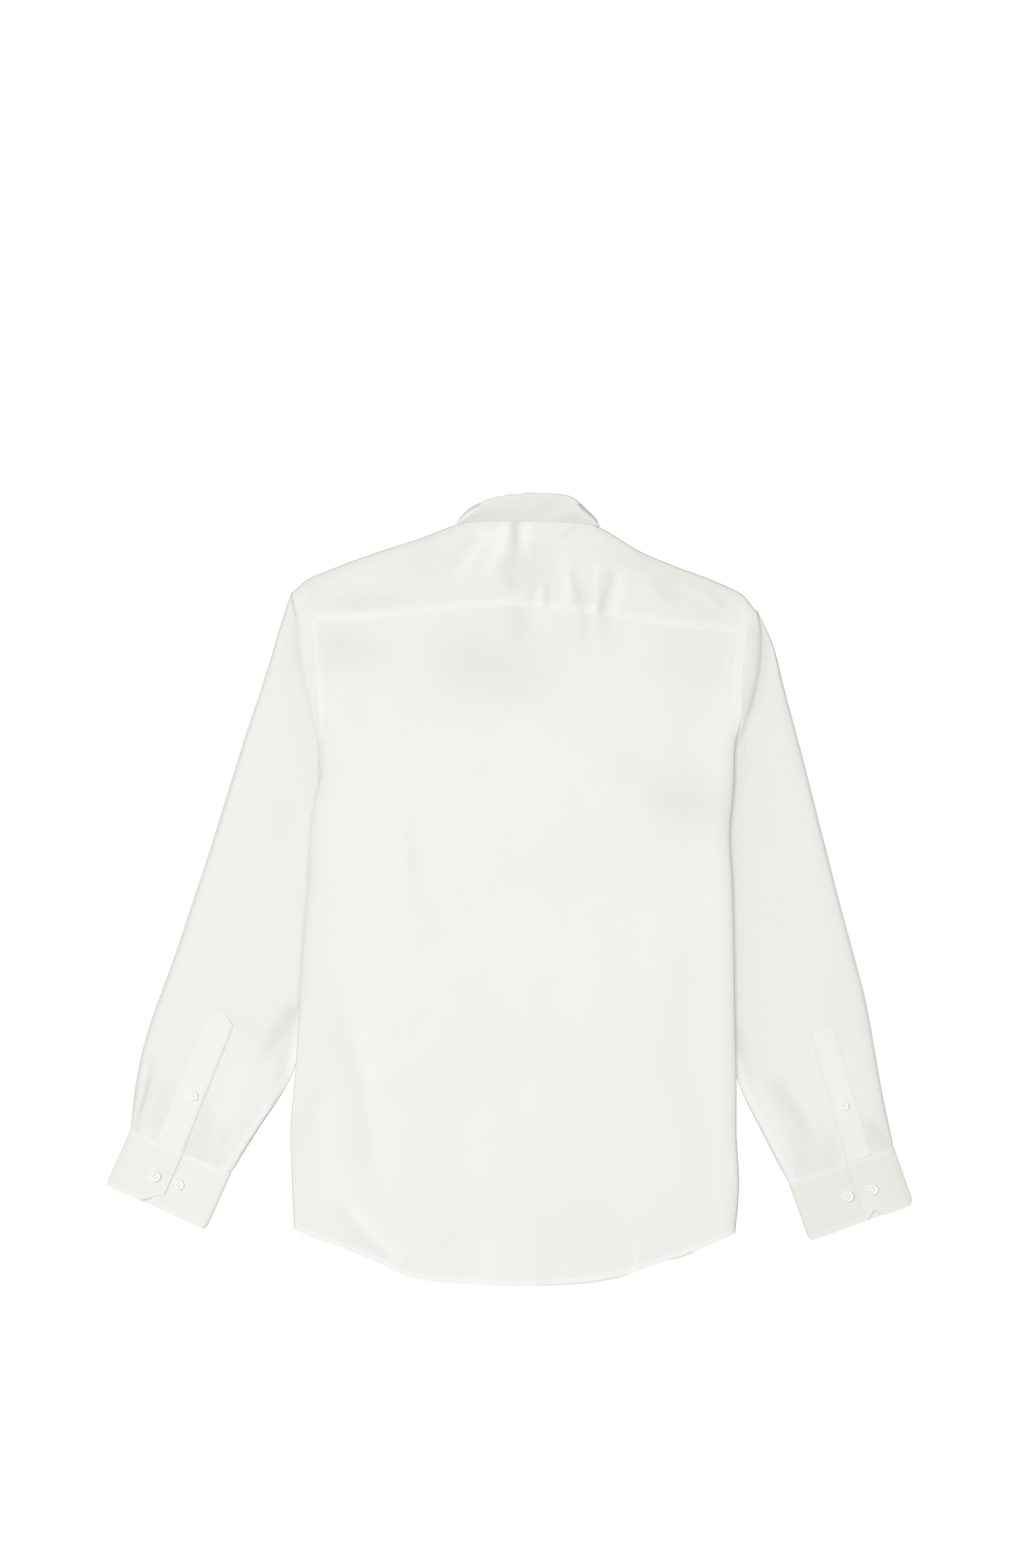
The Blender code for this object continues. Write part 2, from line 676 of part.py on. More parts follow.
def make_front(name, across, lower, upper, columns, laps):
    """One front: its columns of the shared plan, from the hem to the shoulder and the neckline."""
    plan = front_plan(across, lower, upper)[:, columns]
    share = np.broadcast_to(across[columns], plan.shape[:2])
    x, y = plan[..., 0], plan[..., 1]
    height = front_lift(share, x, y) + CLOTH / 2
    if laps:
        height = height + lap_lift(share)
    grid = np.dstack([plan, height])
    drop = smooth(ARMPIT[1], ARMPIT[0], y)
    side, step = (0, 1.0) if columns[0] == 0 else (-1, -1.0)
    grid[:, side, 0] += step * (CLOTH + GAP) * drop[:, side]
    centre = -1 - side
    grid[:, centre, 0] -= step * (-BUTTON_STAND_INSET if laps else GAP)
    return wall(name, grid, CLOTH, CLOTH_FINISH)


def make_placket_band(across, lower, upper, columns):
    """The buttonhole band down the centre front, on the buttons."""
    plan = front_plan(across, lower, upper)[:, columns]
    share = np.broadcast_to(across[columns], plan.shape[:2])
    height = front_lift(share, plan[..., 0], plan[..., 1]) + CLOTH / 2
    return wall("placket_band", np.dstack([plan, height]), CLOTH, CLOTH_FINISH)


# ---------------------------------------------------------------- collar
def collar_lines(turns):
    """Roll, leaf edge and neck seam at each turn, with the signed turn going left to right."""
    side = np.where(turns < 0, -1.0, 1.0)
    size = np.abs(turns)
    lines = {}
    for line in ("roll", "edge", "seam"):
        x, y, z = (curve(COLLAR["turn"], COLLAR[line + "_" + axis])(size) for axis in "xyz")
        lines[line] = np.stack([side * x, y - COLLAR_CENTRE[1], z], axis=-1)
    lines["bulge"] = curve(COLLAR["turn"], COLLAR["bulge"])(size)
    return lines


def set_collar(points):
    """Turns collar points a little in plan and moves them to the neck."""
    angle = math.radians(COLLAR_TURN)
    x = points[..., 0] * math.cos(angle) - points[..., 1] * math.sin(angle)
    y = points[..., 0] * math.sin(angle) + points[..., 1] * math.cos(angle)
    return np.stack([x + COLLAR_CENTRE[0], y + COLLAR_CENTRE[1], points[..., 2]], axis=-1)


def make_collar():
    """The stand, whose ends lap at the centre front, and the leaf that rolls over it."""
    half = np.array(LEAF_TURNS, float)
    turns = np.concatenate([[-STAND_END], -half[:0:-1], half, [STAND_END]])
    unfolded = ~np.isin(np.abs(turns), STAND_SKIPS)
    lines = collar_lines(turns)
    roll, edge, seam = lines["roll"], lines["edge"], lines["seam"]
    along = unit(np.gradient(roll, axis=0))
    down = unit(seam - roll)
    down = unit(down - (down * along).sum(axis=1, keepdims=True) * along)
    lap = STAND_LAP * smooth(140.0, 166.0, turns)
    top = roll + down * (2.0 * ROLL_ROUND + STIFF / 2)
    stand = np.stack([seam + (top - seam) * share for share in (0.0, 0.34, 0.67, 1.0)], axis=1)
    stand[..., 2] += lap[:, None]
    wall("collar_stand", set_collar(stand[unfolded]), STIFF, CLOTH_FINISH)

    out = -np.cross(along, down)
    start = roll + out * 2 * ROLL_ROUND
    fall = edge - start
    away = -unit(np.cross(along, unit(fall)))
    rows = [roll + down * 0.8 * ROLL_ROUND, roll - down * 0.5 * ROLL_ROUND + out * 0.15 * ROLL_ROUND]
    rows += [roll + out * ROLL_ROUND - down * ROLL_ROUND, start - down * 0.2 * ROLL_ROUND]
    under = smooth(84.0, 104.0, np.abs(turns))
    for share in (0.2, 0.45, 0.72, 1.0):
        row = start + fall * share + away * (lines["bulge"] * math.sin(math.pi * share))[:, None]
        row[:, 2] += under * fall[:, 2] * ((1 - (1 - share) ** 3) - share)
        rows.append(row)
    leaf = np.stack(rows, axis=1)[1:-1]
    leaf[..., 2] = np.maximum(leaf[..., 2], STIFF / 2)
    wall("collar_leaf", set_collar(leaf), STIFF, CLOTH_FINISH)


# ---------------------------------------------------------------- sleeves
def armhole_lines(side, rim):
    """The sleeve's first four rings in plan: the armhole seam, the fold beside it and the slope after that."""
    sign = -1.0 if side == "left" else 1.0
    edge = SLEEVE_EDGES[side]
    under = np.column_stack([edge["underarm"]["x"], edge["underarm"]["y"]])
    clear = GAP + 0.4 * (np.abs(rim[:, 1] - ARMPIT[1]) < 20.0)
    clear[0] += 0.5
    seam = np.concatenate([rim + np.outer(clear, [sign, 0.0]), under])
    width = curve(edge["fold"]["y"], edge["fold"]["width"])(seam[:, 1])[:, None]
    along_outer = unit(path(**edge["outer"])(0.02) - path(**edge["outer"])(0.0))
    along_inner = unit(path(**edge["inner"])(0.02) - path(**edge["inner"])(0.0))
    at_top = np.zeros((len(seam), 1))
    at_top[:2, 0] = (1.0, 0.4)
    at_under = np.zeros((len(seam), 1))
    at_under[-3:, 0] = (0.3, 0.7, 1.0)
    out = np.array([sign, 0.0]) * (1 - at_top - at_under) + along_outer * at_top + along_inner * at_under
    out = unit(out)
    return [seam, seam + out * width, seam + out * (width + 1.2), seam + out * (width + 2.4)]


def ring_shares(spread, tuck, crossing, even):
    """Column positions along a ring: the open columns end at the crossing, the tucked ones go on from it."""
    before = spread[: tuck + 1] / spread[tuck]
    after = (spread[tuck:] - spread[tuck]) / (1 - spread[tuck])
    before = before + (np.linspace(0.0, 1.0, len(before)) - before) * even
    after = after + (np.linspace(0.0, 1.0, len(after)) - after) * even
    return np.concatenate([before * crossing, (crossing + (1 - crossing) * after)[1:]])


def sleeve_grid(side, rim, body_side):
    """Middle points of a sleeve: rings from the armhole to the cuff, each a flat loop."""
    sign = -1.0 if side == "left" else 1.0
    edge = SLEEVE_EDGES[side]
    outer, inner = path(**edge["outer"]), path(**edge["inner"])
    plans = armhole_lines(side, rim)
    foot = plans[-1]
    tuck = len(foot) - SLEEVE_TUCKED
    spread = np.concatenate([[0.0], np.cumsum(np.linalg.norm(np.diff(foot, axis=0), axis=1))])
    spread /= spread[-1]
    bend = foot - (foot[:1] + (foot[-1:] - foot[:1]) * spread[:, None])
    fine = np.linspace(0.0, 1.0, 400)
    for step in np.linspace(0.0, 1.0, SLEEVE_RINGS + 1)[1:]:
        settle = smooth(0.0, 0.2, step)
        start = outer(step) + (foot[0] - outer(0.0)) * (1 - settle)
        end = inner(step) + (foot[-1] - inner(0.0)) * (1 - settle)
        fade = 1 - smooth(0.0, 0.3, step)
        bent = np.column_stack([np.interp(fine, spread, bend[:, axis]) for axis in (0, 1)])
        ring = start + (end - start) * fine[:, None] + bent * fade
        outside = sign * (ring[:, 0] - np.interp(ring[:, 1], body_side[:, 1], body_side[:, 0]))
        open_part = (outside > SLEEVE_CLEAR).argmin() if (outside <= SLEEVE_CLEAR).any() else len(fine)
        crossing = min(open_part / len(fine), 0.88)
        share = ring_shares(spread, tuck, crossing, settle)
        plans.append(np.column_stack([np.interp(share, fine, ring[:, axis]) for axis in (0, 1)]))
    plans = np.stack(plans)
    x, y = plans[..., 0], plans[..., 1]
    outside = sign * (x - np.interp(y, body_side[:, 1], body_side[:, 0]))
    low = CLOTH / 2
    across_share = np.linspace(0.0, 1.0, plans.shape[1])
    puff = 2.1 + 2.2 * np.sin(math.pi * across_share) ** 0.8
    beside = smooth(SLEEVE_CLEAR, SLEEVE_CLEAR + 24.0, outside)
    upper = low + LAYER + beside * np.maximum(puff + folds(x, y, SLEEVE_FOLDS[side]), 0.0)
    on_seam = smooth(plans[0, tuck, 1] + 1.0, plans[0, tuck, 1] + 26.0, y[:4])
    raised = low + EDGE_LIFT + LAYER
    for ring, part in enumerate((1.0, 1.0, 0.5, 0.06)):
        upper[ring] += (raised - upper[ring]) * part * on_seam[ring]
    return tube_loops(plans, upper, low)


def tube_loops(plans, upper, low):
    """Closed loops of a flattened tube: over the top, round one side, back below, round the other side."""
    top = np.dstack([plans, upper])
    bottom = np.dstack([plans, np.full_like(upper, low)])
    rolls = []
    for at, beside in ((-1, -2), (0, 1)):
        radius = (upper[:, at] - low) / 2.0
        inset = unit(plans[:, beside] - plans[:, at]) * radius[:, None]
        top[:, at, :2] += inset
        bottom[:, at, :2] += inset
        rolls.append(np.column_stack([plans[:, at], low + radius])[:, None])
    return np.concatenate([top, rolls[0], bottom[:, ::-1], rolls[1]], axis=1)


def make_sleeve(side, lower, upper):
    """A sleeve: a flattened tube, open at the armhole and at the cuff."""
    column = 0 if side == "left" else -1
    beside = lower[ROWS_BELOW:, column]
    yoke_end = upper[[YOKE_ROWS, YOKE_ROWS // 2], column]
    rim = np.concatenate([yoke_end, beside[::-1]])
    body_side = np.concatenate([lower[:, column], upper[1:, column]])
    return wall("sleeve_" + side, sleeve_grid(side, rim, body_side), CLOTH, CLOTH_FINISH, closed=True)


def make_tower(side, sleeve):
    """The pointed placket on the sleeve, made from the sleeve's points moved out."""
    size = TOWERS[side]
    tree = drape_tree([sleeve])
    apex = np.array(size["apex"])
    corners, ends = np.array(size["corners"]), np.array(size["ends"])
    near = apex + (corners - apex) * 0.06
    rows = [near]
    for share in np.linspace(0.0, 1.0, TOWER_ROWS):
        rows.append(corners + (ends - corners) * share)
    edges = np.stack(rows)
    across = np.linspace(0.0, 1.0, 5)[None, :, None]
    plan = edges[:, :1] * (1 - across) + edges[:, 1:] * across
    around = [(dx, dy) for dx in (-4.0, 0.0, 4.0) for dy in (-5.0, 0.0, 5.0)]
    height = [[max(surface_height(tree, x + dx, y + dy) for dx, dy in around) for x, y in row] for row in plan]
    grid = np.dstack([plan, np.array(height) + GAP + CLOTH / 2])
    return wall("tower_" + side, grid, CLOTH, CLOTH_FINISH)


# ---------------------------------------------------------------- cuffs
def cuff_frame(size):
    """Origin and the across and down directions of a cuff."""
    origin = np.array(size["outer"])
    run = np.array(size["inner"]) - origin
    width = np.linalg.norm(run)
    across = run / width
    down = np.array([across[1], -across[0]]) * (1.0 if across[0] > 0 else -1.0)
    return origin, across, down, width


def make_cuff(side):
    """A cuff: one interlined strip from its over end, round the wrist, to its under end."""
    size = CUFFS[side]
    origin, across, down, width = cuff_frame(size)
    low = STIFF / 2
    level = STIFF + GAP
    over, under = size["over_end"], size["under_end"]
    strip = [(over, low + 2 * level), (over - 8, low + 2 * level + 0.3), (over - 20, low + 2 * level + 0.5)]
    strip += [(over * 0.4, low + 2 * level + 0.4), (8.0, low + 2 * level), (3.0, low + 2 * level - 0.5)]
    strip += [(0.9, low + 1.6 * level), (0.7, low + 0.8 * level), (2.4, low + 0.1), (6.0, low)]
    strip += [(width * 0.3, low), (width * 0.6, low), (width - 6.0, low), (width - 2.2, low + 0.1)]
    strip += [(width - 0.7, low + 0.7 * level), (width - 1.0, low + 1.4 * level), (width - 4.0, low + 1.85 * level)]
    strip += [(width - 14.0, low + 1.9 * level), (over + 22.0, low + 1.7 * level), (over + 9.0, low + 1.15 * level)]
    strip += [(over, low + level), (under + 20.0, low + level), (under + 8.0, low + level), (under, low + level)]
    strip = np.array(strip)
    reach = np.full(len(strip), CUFF_HEIGHT)
    along, up = MITRE
    reach[:3] -= up * np.array([1.0, 0.6, 0.0])
    reach[-3:] -= up * np.array([0.0, 0.6, 1.0])
    reach[5:10] -= 0.6
    share = np.linspace(0.0, 1.0, 4)
    depth = GAP + share[None, :] * (reach[:, None] - GAP)
    plan = origin + strip[:, :1, None].transpose(0, 2, 1) * across + depth[..., None] * down
    height = np.broadcast_to(strip[:, 1:], depth.shape)
    return wall("cuff_" + side, np.dstack([plan, height]), STIFF, CLOTH_FINISH)


# ---------------------------------------------------------------- buttons
def make_button(name, radius, thickness, place, faces_up=True):
    """A turned button with a raised rim; place is the middle of its back."""
    profile = np.array(
        [
            (0.70, 0.0),
            (1.00, 0.45),
            (0.94, 1.00),
            (0.62, 0.70),
        ]
    )
    angle = np.arange(BUTTON_SIDES) * 2 * math.pi / BUTTON_SIDES
    circle = radius * np.column_stack([np.cos(angle), np.sin(angle), np.zeros(len(angle))])
    rings = [circle * r + np.array([0.0, 0.0, thickness * z]) for r, z in profile]
    points = np.concatenate([[[0.0, 0.0, 0.0]], *rings, [[0.0, 0.0, thickness * profile[-1, 1]]]])
    count, last = BUTTON_SIDES, len(points) - 1
    faces = []
    for side in range(count):
        after = (side + 1) % count
        faces.append([0, 1 + after, 1 + side])
        for ring in range(len(profile) - 1):
            start = 1 + ring * count
            faces.append([start + side, start + after, start + count + after, start + count + side])
        start = 1 + (len(profile) - 1) * count
        faces.append([start + side, start + after, last])
    if not faces_up:
        points = points * np.array([1.0, -1.0, -1.0])
    return add_object(name, points + np.array(place), faces, BUTTON_FINISH)


def make_cuff_buttons(side, cuff):
    """The fastened button on the over end and the bare one on the under end."""
    origin, across, down, _ = cuff_frame(CUFFS[side])
    tree = drape_tree([cuff])
    for name, (along, deep) in zip(("over", "under"), CUFFS[side]["buttons"]):
        x, y = origin + across * along + down * deep
        make_button(f"cuff_button_{side}_{name}", *CUFF_BUTTON, (x, y, surface_height(tree, x, y) + GAP))


def make_tower_button(side, tower):
    x, y = TOWERS[side]["button"]
    make_button("tower_button_" + side, *SMALL_BUTTON, (x, y, surface_height(drape_tree([tower]), x, y) + GAP))


def make_front_buttons(band):
    """The front buttons, face down between the band and the surface, and the one on the stand."""
    x_at = curve(band[:, 1], band[:, 0])
    heights = [FRONT_BUTTON_TOP - FRONT_BUTTON_PITCH * i for i in range(FRONT_BUTTONS - 1)]
    for number, y in enumerate([COLLAR_BUTTON_Y, *heights], start=1):
        x = COLLAR_CENTRE[0] if number == 1 else float(x_at(y))
        make_button(f"front_button_{number}", *SMALL_BUTTON, (x, y, SMALL_BUTTON[1]), faces_up=False)


# ---------------------------------------------------------------- the whole shirt
def main():
    for piece in list(bpy.data.objects):
        bpy.data.objects.remove(piece, do_unlink=True)
    across, lower, upper = body_plan()
    middle = len(COLUMN_SHARES) - 1
    make_back(across, lower)
    make_yoke(across, upper)
    columns = list(range(len(across)))
    make_front("front_left", across, lower, upper, columns[:middle], laps=False)
    make_front("front_right", across, lower, upper, columns[middle - 1:], laps=True)
    make_placket_band(across, lower, upper, columns[middle - 1:middle + 2])
    make_collar()
    for side in ("left", "right"):
        sleeve = make_sleeve(side, lower, upper)
        tower = make_tower(side, sleeve)
        cuff = make_cuff(side)
        make_cuff_buttons(side, cuff)
        make_tower_button(side, tower)
    make_front_buttons(np.concatenate([lower[:, middle], upper[1:, middle]]))


main()
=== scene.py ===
# %% [markdown]
# # A long sleeve dress shirt, laid out flat with its back up
# The shirt is cut from white poplin: a back, a two-ply yoke, two fronts, two sleeves, and a stiffened
# collar and cuffs. It lies face down, so the back is on top, the fronts are under it, and the inner
# part of each sleeve is tucked below the body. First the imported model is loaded. It fixes the frame,
# and every cloth piece below takes the place of one of its plain solids.

import json
import math

import bpy
import numpy as np
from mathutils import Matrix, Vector

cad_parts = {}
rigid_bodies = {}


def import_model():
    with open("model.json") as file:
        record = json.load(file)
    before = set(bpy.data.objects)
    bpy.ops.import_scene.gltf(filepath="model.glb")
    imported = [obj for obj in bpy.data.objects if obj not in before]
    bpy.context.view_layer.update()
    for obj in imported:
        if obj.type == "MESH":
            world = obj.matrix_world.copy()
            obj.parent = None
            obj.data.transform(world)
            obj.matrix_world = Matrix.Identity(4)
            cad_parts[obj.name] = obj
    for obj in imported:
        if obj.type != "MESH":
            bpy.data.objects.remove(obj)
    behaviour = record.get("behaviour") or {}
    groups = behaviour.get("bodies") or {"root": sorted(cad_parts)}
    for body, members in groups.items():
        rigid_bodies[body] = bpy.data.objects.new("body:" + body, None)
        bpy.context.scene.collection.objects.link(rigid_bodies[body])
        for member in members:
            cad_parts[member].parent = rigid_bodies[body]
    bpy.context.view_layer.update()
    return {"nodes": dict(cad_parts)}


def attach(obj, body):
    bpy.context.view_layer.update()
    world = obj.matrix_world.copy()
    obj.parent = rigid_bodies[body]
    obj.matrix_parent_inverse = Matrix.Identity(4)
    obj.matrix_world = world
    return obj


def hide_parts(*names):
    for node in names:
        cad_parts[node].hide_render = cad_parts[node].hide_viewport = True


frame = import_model()
print("solids loaded:", len(frame["nodes"]))

# %% [markdown]
# ## The sizes of the cut
# All sizes are millimetres on the cutting table, with +X to the wearer's right and +Y to the collar.
# The tables are the shirt's own edges and seams. Everything else is worked out from them, so the body,
# the yoke and the sleeves meet along the same lines.

# %% Sizes, seams and edges
MM = 0.001
ORIGIN = (0.94, 0.15)      # the middle of the whole shirt, which is the frame's origin
SIGN = {"left": -1.0, "right": 1.0}
PLY = 0.55                 # one thickness of poplin as it shows at an edge
FUSED = 1.0                # collar and cuffs, two plies and an interlining
WALL = 1.0                 # the space each poplin layer has in the stack
STIFF = 1.4                # the space a collar or cuff layer has
GAP = 0.3
TABLE_CLEAR = 0.02         # nothing comes nearer to the table
LAYER = WALL + GAP
BAND_LIFT, SLEEVE_LIFT, COLLAR_LIFT = 2.5, 2.6, 1.8     # the fronts' rise over what lies under them
EDGE_LIFT, EDGE_ROUND = 2.6, 2.5                        # the back's sides: their rise and their rounding
YOKE_WRAP = 20.0           # how far the yoke comes forward of the shoulder
BAND_SHARE = 0.036         # half the band's width as a share of the body's
HEM_TURN, HEM_END = 6.0, (5.2, 6.8)     # a hem's depth, and where its thickness ends
FELL_END = (0.0205, 0.0245)     # shares of the width where a felled armhole band ends
FELL_SEWN = 0.0225              # and where its stitches lie
COLLAR_CENTRE = np.array([19.3, 372.0])
NECK_CURL = (64.3, 77.0)        # distances from the collar's centre over which the shoulder roll grows
NECK_STEP = 0.35                # spacing of the yoke's turned rows at the neck
NECK_RIM = (8.4, 1.7, 66.0)     # height at the centre back, its fall to the sides, half width
SLEEVE_TUCKED = 4          # columns of a sleeve that lie under the body
SLEEVE_CLEAR = 4.0         # how far outside the body's side the open columns start
SLEEVE_RINGS = 15          # coarse rings beyond the armhole's four
SLEEVE_BESIDE = (26.0, 62.0)    # where the front rises over a tucked sleeve
ARMPIT = (150.0, 176.0)         # the body's sides turn down below this stretch
ARMPIT_SHARE = 0.80             # the share up the body's side where the armhole starts


def table(columns, *rows):
    """Named columns of numbers as arrays."""
    return dict(zip(columns.split(), np.array(rows, float).T))


BODY_SIDES = table(
    "left_x left_y right_x right_y",
    (-218.8, -345.7, 230.6, -349.7), (-220.8, -301.5, 234.4, -305), (-222.1, -241.2, 231.6, -245),
    (-218.8, -201, 231.8, -203.2), (-213.2, -127.3, 230.4, -127.3), (-207.8, -51.3, 229.2, -51),
    (-202.3, 14.1, 227.6, 14), (-199.8, 62, 225.2, 56), (-195.5, 94.1, 228.4, 93.1),
    (-191, 110, 229.6, 114), (-190.4, 130, 230.2, 140), (-192.2, 150.5, 232.2, 158),
    (-194.2, 168, 236, 176), (-197.7, 201.8, 237, 200), (-200.3, 232.6, 238.4, 228),
    (-205, 273.3, 242.5, 258.5),
)
HEM = table(
    "x y",
    (-218.8, -345.7), (-199.3, -354.4), (-165.8, -366.4), (-132.3, -380.4), (-115.6, -388.6), (-98.8, -395.3),
    (-82.1, -398.2), (-48.6, -401.3), (-15.1, -402.7), (51.9, -401.5), (85.4, -398.7), (118.9, -392),
    (152.4, -380.5), (185.9, -369.2), (219.4, -355), (230.6, -349.7),
)
YOKE_SEAM = table(
    "x y",
    (-205, 273.3), (-185.4, 272.8), (-128.5, 276), (-82.3, 280), (-43.9, 285.4), (5, 287.4),
    (27.1, 286.6), (64.9, 282.8), (100.8, 277.6), (158.9, 268.6), (242.5, 258.5),
)
SHOULDERS = table(
    "x y",
    (-219.6, 302.6), (-207.4, 314), (-188.6, 322.7), (-167.8, 331), (-122.3, 347), (-95.5, 355.3),
    (-74.7, 363), (-57.3, 370), (-46.2, 373.6), (-30, 377), (-5, 379.2), (19.3, 379.8),
    (43, 378.6), (68, 375.6), (84.8, 371.6), (95.5, 366.8), (114.9, 355.1), (127.6, 347.1),
    (163.8, 331), (206.7, 314.9), (224.8, 306.9), (238.9, 298.8), (250, 285),
)
TUCKED_SLEEVES = table(
    "y left_x right_x",
    (-330, -310, 310), (-290, -283, 281), (-241.2, -253.6, 254.9), (-221.1, -239.5, 244.2),
    (-182, -217.5, 229), (-150, -208, 219), (-120, -192, 206.5), (-60, -165, 182),
    (0, -142, 160), (80, -150, 180), (150, -155, 190),
)
SLEEVE_EDGES = {
    "left": {
        "outer": table(
            "x y",
            (-221.2, 301.5), (-226.1, 290.8), (-232.8, 266.7), (-246.2, 221.1), (-266.3, 160.8),
            (-285.1, 100.5), (-303.8, 40.2), (-323.9, -20.1), (-344, -80.4), (-359.5, -120.6),
            (-372.2, -160.8),
            (-380.2, -201), (-384.6, -243.6),
        ),
        "inner": table(
            "x y",
            (-156, 117), (-151, 80), (-146, 40), (-143, 0), (-165, -60), (-192, -120),
            (-209, -157), (-217.9, -182.2), (-226.8, -201), (-239.5, -221.1), (-253.6, -241.2),
            (-266.3, -261.3), (-283.2, -289),
        ),
        "fold": table(
            "y width",
            (100, 1.5), (152, 1.5), (169, 1.7), (192, 5.5), (217, 8), (250, 10.5), (284, 6.5),
            (303, 1.5),
        ),
        "underarm": table("x y", (-186.0, 137.0), (-173.0, 125.0), (-156.0, 117.0)),
    },
    "right": {
        "outer": table(
            "x y",
            (251.2, 283.4), (256.5, 276), (265.6, 257), (270.6, 236), (280.4, 201), (291.8, 160.8),
            (307.2, 100.5), (322.6, 40.2), (338, -20.1), (354.5, -80.4), (364.6, -120.6), (371.5, -160.8),
            (378.5, -201), (386.6, -241.2), (391.2, -261.3),
        ),
        "inner": table(
            "x y",
            (190, 112), (183, 80), (168, 46), (161, 8), (178, -49), (202, -108),
            (218, -147), (232, -192), (244.2, -221.1), (254.9, -241.2), (265.7, -261.3), (275, -281.4),
            (285.2, -298.2),
        ),
        "fold": table(
            "y width",
            (100, 1.5), (158, 1.8), (172, 4), (195, 9.5), (225, 14), (253, 12.5), (275, 6.5),
            (285, 1.5),
        ),
        "underarm": table("x y", (220.5, 127.0), (208.0, 118.0), (190.0, 112.0)),
    },
}
print("body length at centre back, mm:", round(379.8 + 402.0))


# %% [markdown]
# ## Helpers for curves and cloth grids
# A cloth piece is a grid of points. One direction runs up the piece and the other across it. The
# helpers here read a smooth line through the table's points, stretch a grid between four seams, and
# read a coarse grid finely. Whole arrays go through them at once.

# %% Curves, patches and finer grids
def smooth(start, end, value):
    """0 before start, 1 after end, and 3s^2 - 2s^3 of the share s between; start may be the larger."""
    share = np.clip((np.asarray(value, float) - start) / (end - start), 0.0, 1.0)
    return share * share * (3.0 - 2.0 * share)


def hump(value, middle, width):
    """1 at the middle and small beyond the width: exp(-((v - m) / w)^2)."""
    return np.exp(-(((value - middle) / width) ** 2))


def from_rim(share):
    """The share of the width to the nearer side."""
    return np.minimum(share, 1 - share)


def unit(vectors):
    """Each vector divided by its own length."""
    return vectors / np.linalg.norm(vectors, axis=-1, keepdims=True)


def run_length(points):
    """The length along a line of points, from 0 at its first one."""
    return np.concatenate([[0.0], np.cumsum(np.linalg.norm(np.diff(points, axis=0), axis=1))])


def curve(x, y):
    """A cubic step between each two points, with the slopes of their neighbours."""
    slope = np.gradient(y, x)

    def at(value):
        value = np.clip(value, x[0], x[-1])
        i = np.clip(np.searchsorted(x, value) - 1, 0, len(x) - 2)
        step = x[i + 1] - x[i]
        t = (value - x[i]) / step
        rise = (1 - t) ** 2 * (1 + 2 * t) * y[i] + t**2 * (3 - 2 * t) * y[i + 1]
        return rise + step * (t * (1 - t) ** 2 * slope[i] - t**2 * (1 - t) * slope[i + 1])

    return at


def path(x, y):
    """A plan path through the points, read at a share of its length."""
    length = np.concatenate([[0.0], np.cumsum(np.hypot(np.diff(x), np.diff(y)))])
    length /= length[-1]
    along_x, along_y = curve(length, x), curve(length, y)
    return lambda share: np.stack([along_x(share), along_y(share)], axis=-1)


def spans(points):
    """The line y of x, read at shares of its width."""
    line = curve(points["x"], points["y"])

    def at(share):
        x = points["x"][0] + share * (points["x"][-1] - points["x"][0])
        return np.stack([x, line(x)], axis=-1)

    return at


def patch(bottom, top, left, right, across, up):
    """Plan points between four seams: (1-v) bottom + v top + (1-u) left + u right, less the corner plane."""
    low, high = bottom(across)[None], top(across)[None]
    start, end = left(up), right(up)
    u, v = across[None, :, None], up[..., None]
    feet, heads = bottom(np.array([0.0, 1.0])), top(np.array([0.0, 1.0]))
    corners = (1 - v) * ((1 - u) * feet[0] + u * feet[1]) + v * ((1 - u) * heads[0] + u * heads[1])
    return (1 - v) * low + v * high + (1 - u) * start + u * end - corners


def resample(points, at):
    """Reads a row of points at places between them, with a cubic step that keeps the neighbours' slopes."""
    slope = np.gradient(points, axis=0)
    i = np.clip(at.astype(int), 0, len(points) - 2)
    t = (at - i).reshape((-1,) + (1,) * (points.ndim - 1))
    middle = (1 - t) ** 2 * (1 + 2 * t) * points[i] + t**2 * (3 - 2 * t) * points[i + 1]
    return middle + t * (1 - t) ** 2 * slope[i] - t**2 * (1 - t) * slope[i + 1]


def finer(grid, row_at, column_at):
    """A coarse grid read finely: first along its rows, then along its columns."""
    return resample(resample(grid, row_at).swapaxes(0, 1), column_at).swapaxes(0, 1)


def crease(x, y, rise, width, lean, fade_in, fade_out, *line):
    """A soft fold along a line: rise * exp(-(d / w)^2), where d is the distance to the line.

    w is width * (1 - lean) on the line's left and width * (1 + lean) on its right, so a fold can be
    steep on one side. The rise fades in and out over the given shares of the line's length, and a share
    near 0 lets a fold start at full depth, as at a seam. The line is X and Y of each of its points.
    """
    line = np.reshape(np.array(line, float), (-1, 2))
    steps = np.hypot(*np.diff(line, axis=0).T)
    starts = np.concatenate([[0.0], np.cumsum(steps)])
    best = np.full(x.shape, np.inf)
    side = np.zeros(x.shape)
    where = np.zeros(x.shape)
    for i, step in enumerate(steps):
        run = (line[i + 1] - line[i]) / step
        along = (x - line[i, 0]) * run[0] + (y - line[i, 1]) * run[1]
        held = np.clip(along, 0.0, step)
        dx, dy = x - line[i, 0] - held * run[0], y - line[i, 1] - held * run[1]
        away = np.hypot(dx, dy)
        nearer = away < best
        best = np.where(nearer, away, best)
        side = np.where(nearer, np.sign(run[0] * dy - run[1] * dx), side)
        where = np.where(nearer, starts[i] + held, where)
    share = where / starts[-1]
    fade = smooth(-0.001, fade_in, share) * smooth(1.001, 1.0 - fade_out, share)
    return rise * fade * hump(best, 0.0, width * (1.0 - side * lean))


def folds(x, y, lines):
    """The heights of all creases added up."""
    return sum((crease(x, y, *line) for line in lines), np.zeros(x.shape))


print("helpers ready; half way up a smooth step:", float(smooth(0, 1, 0.5)))


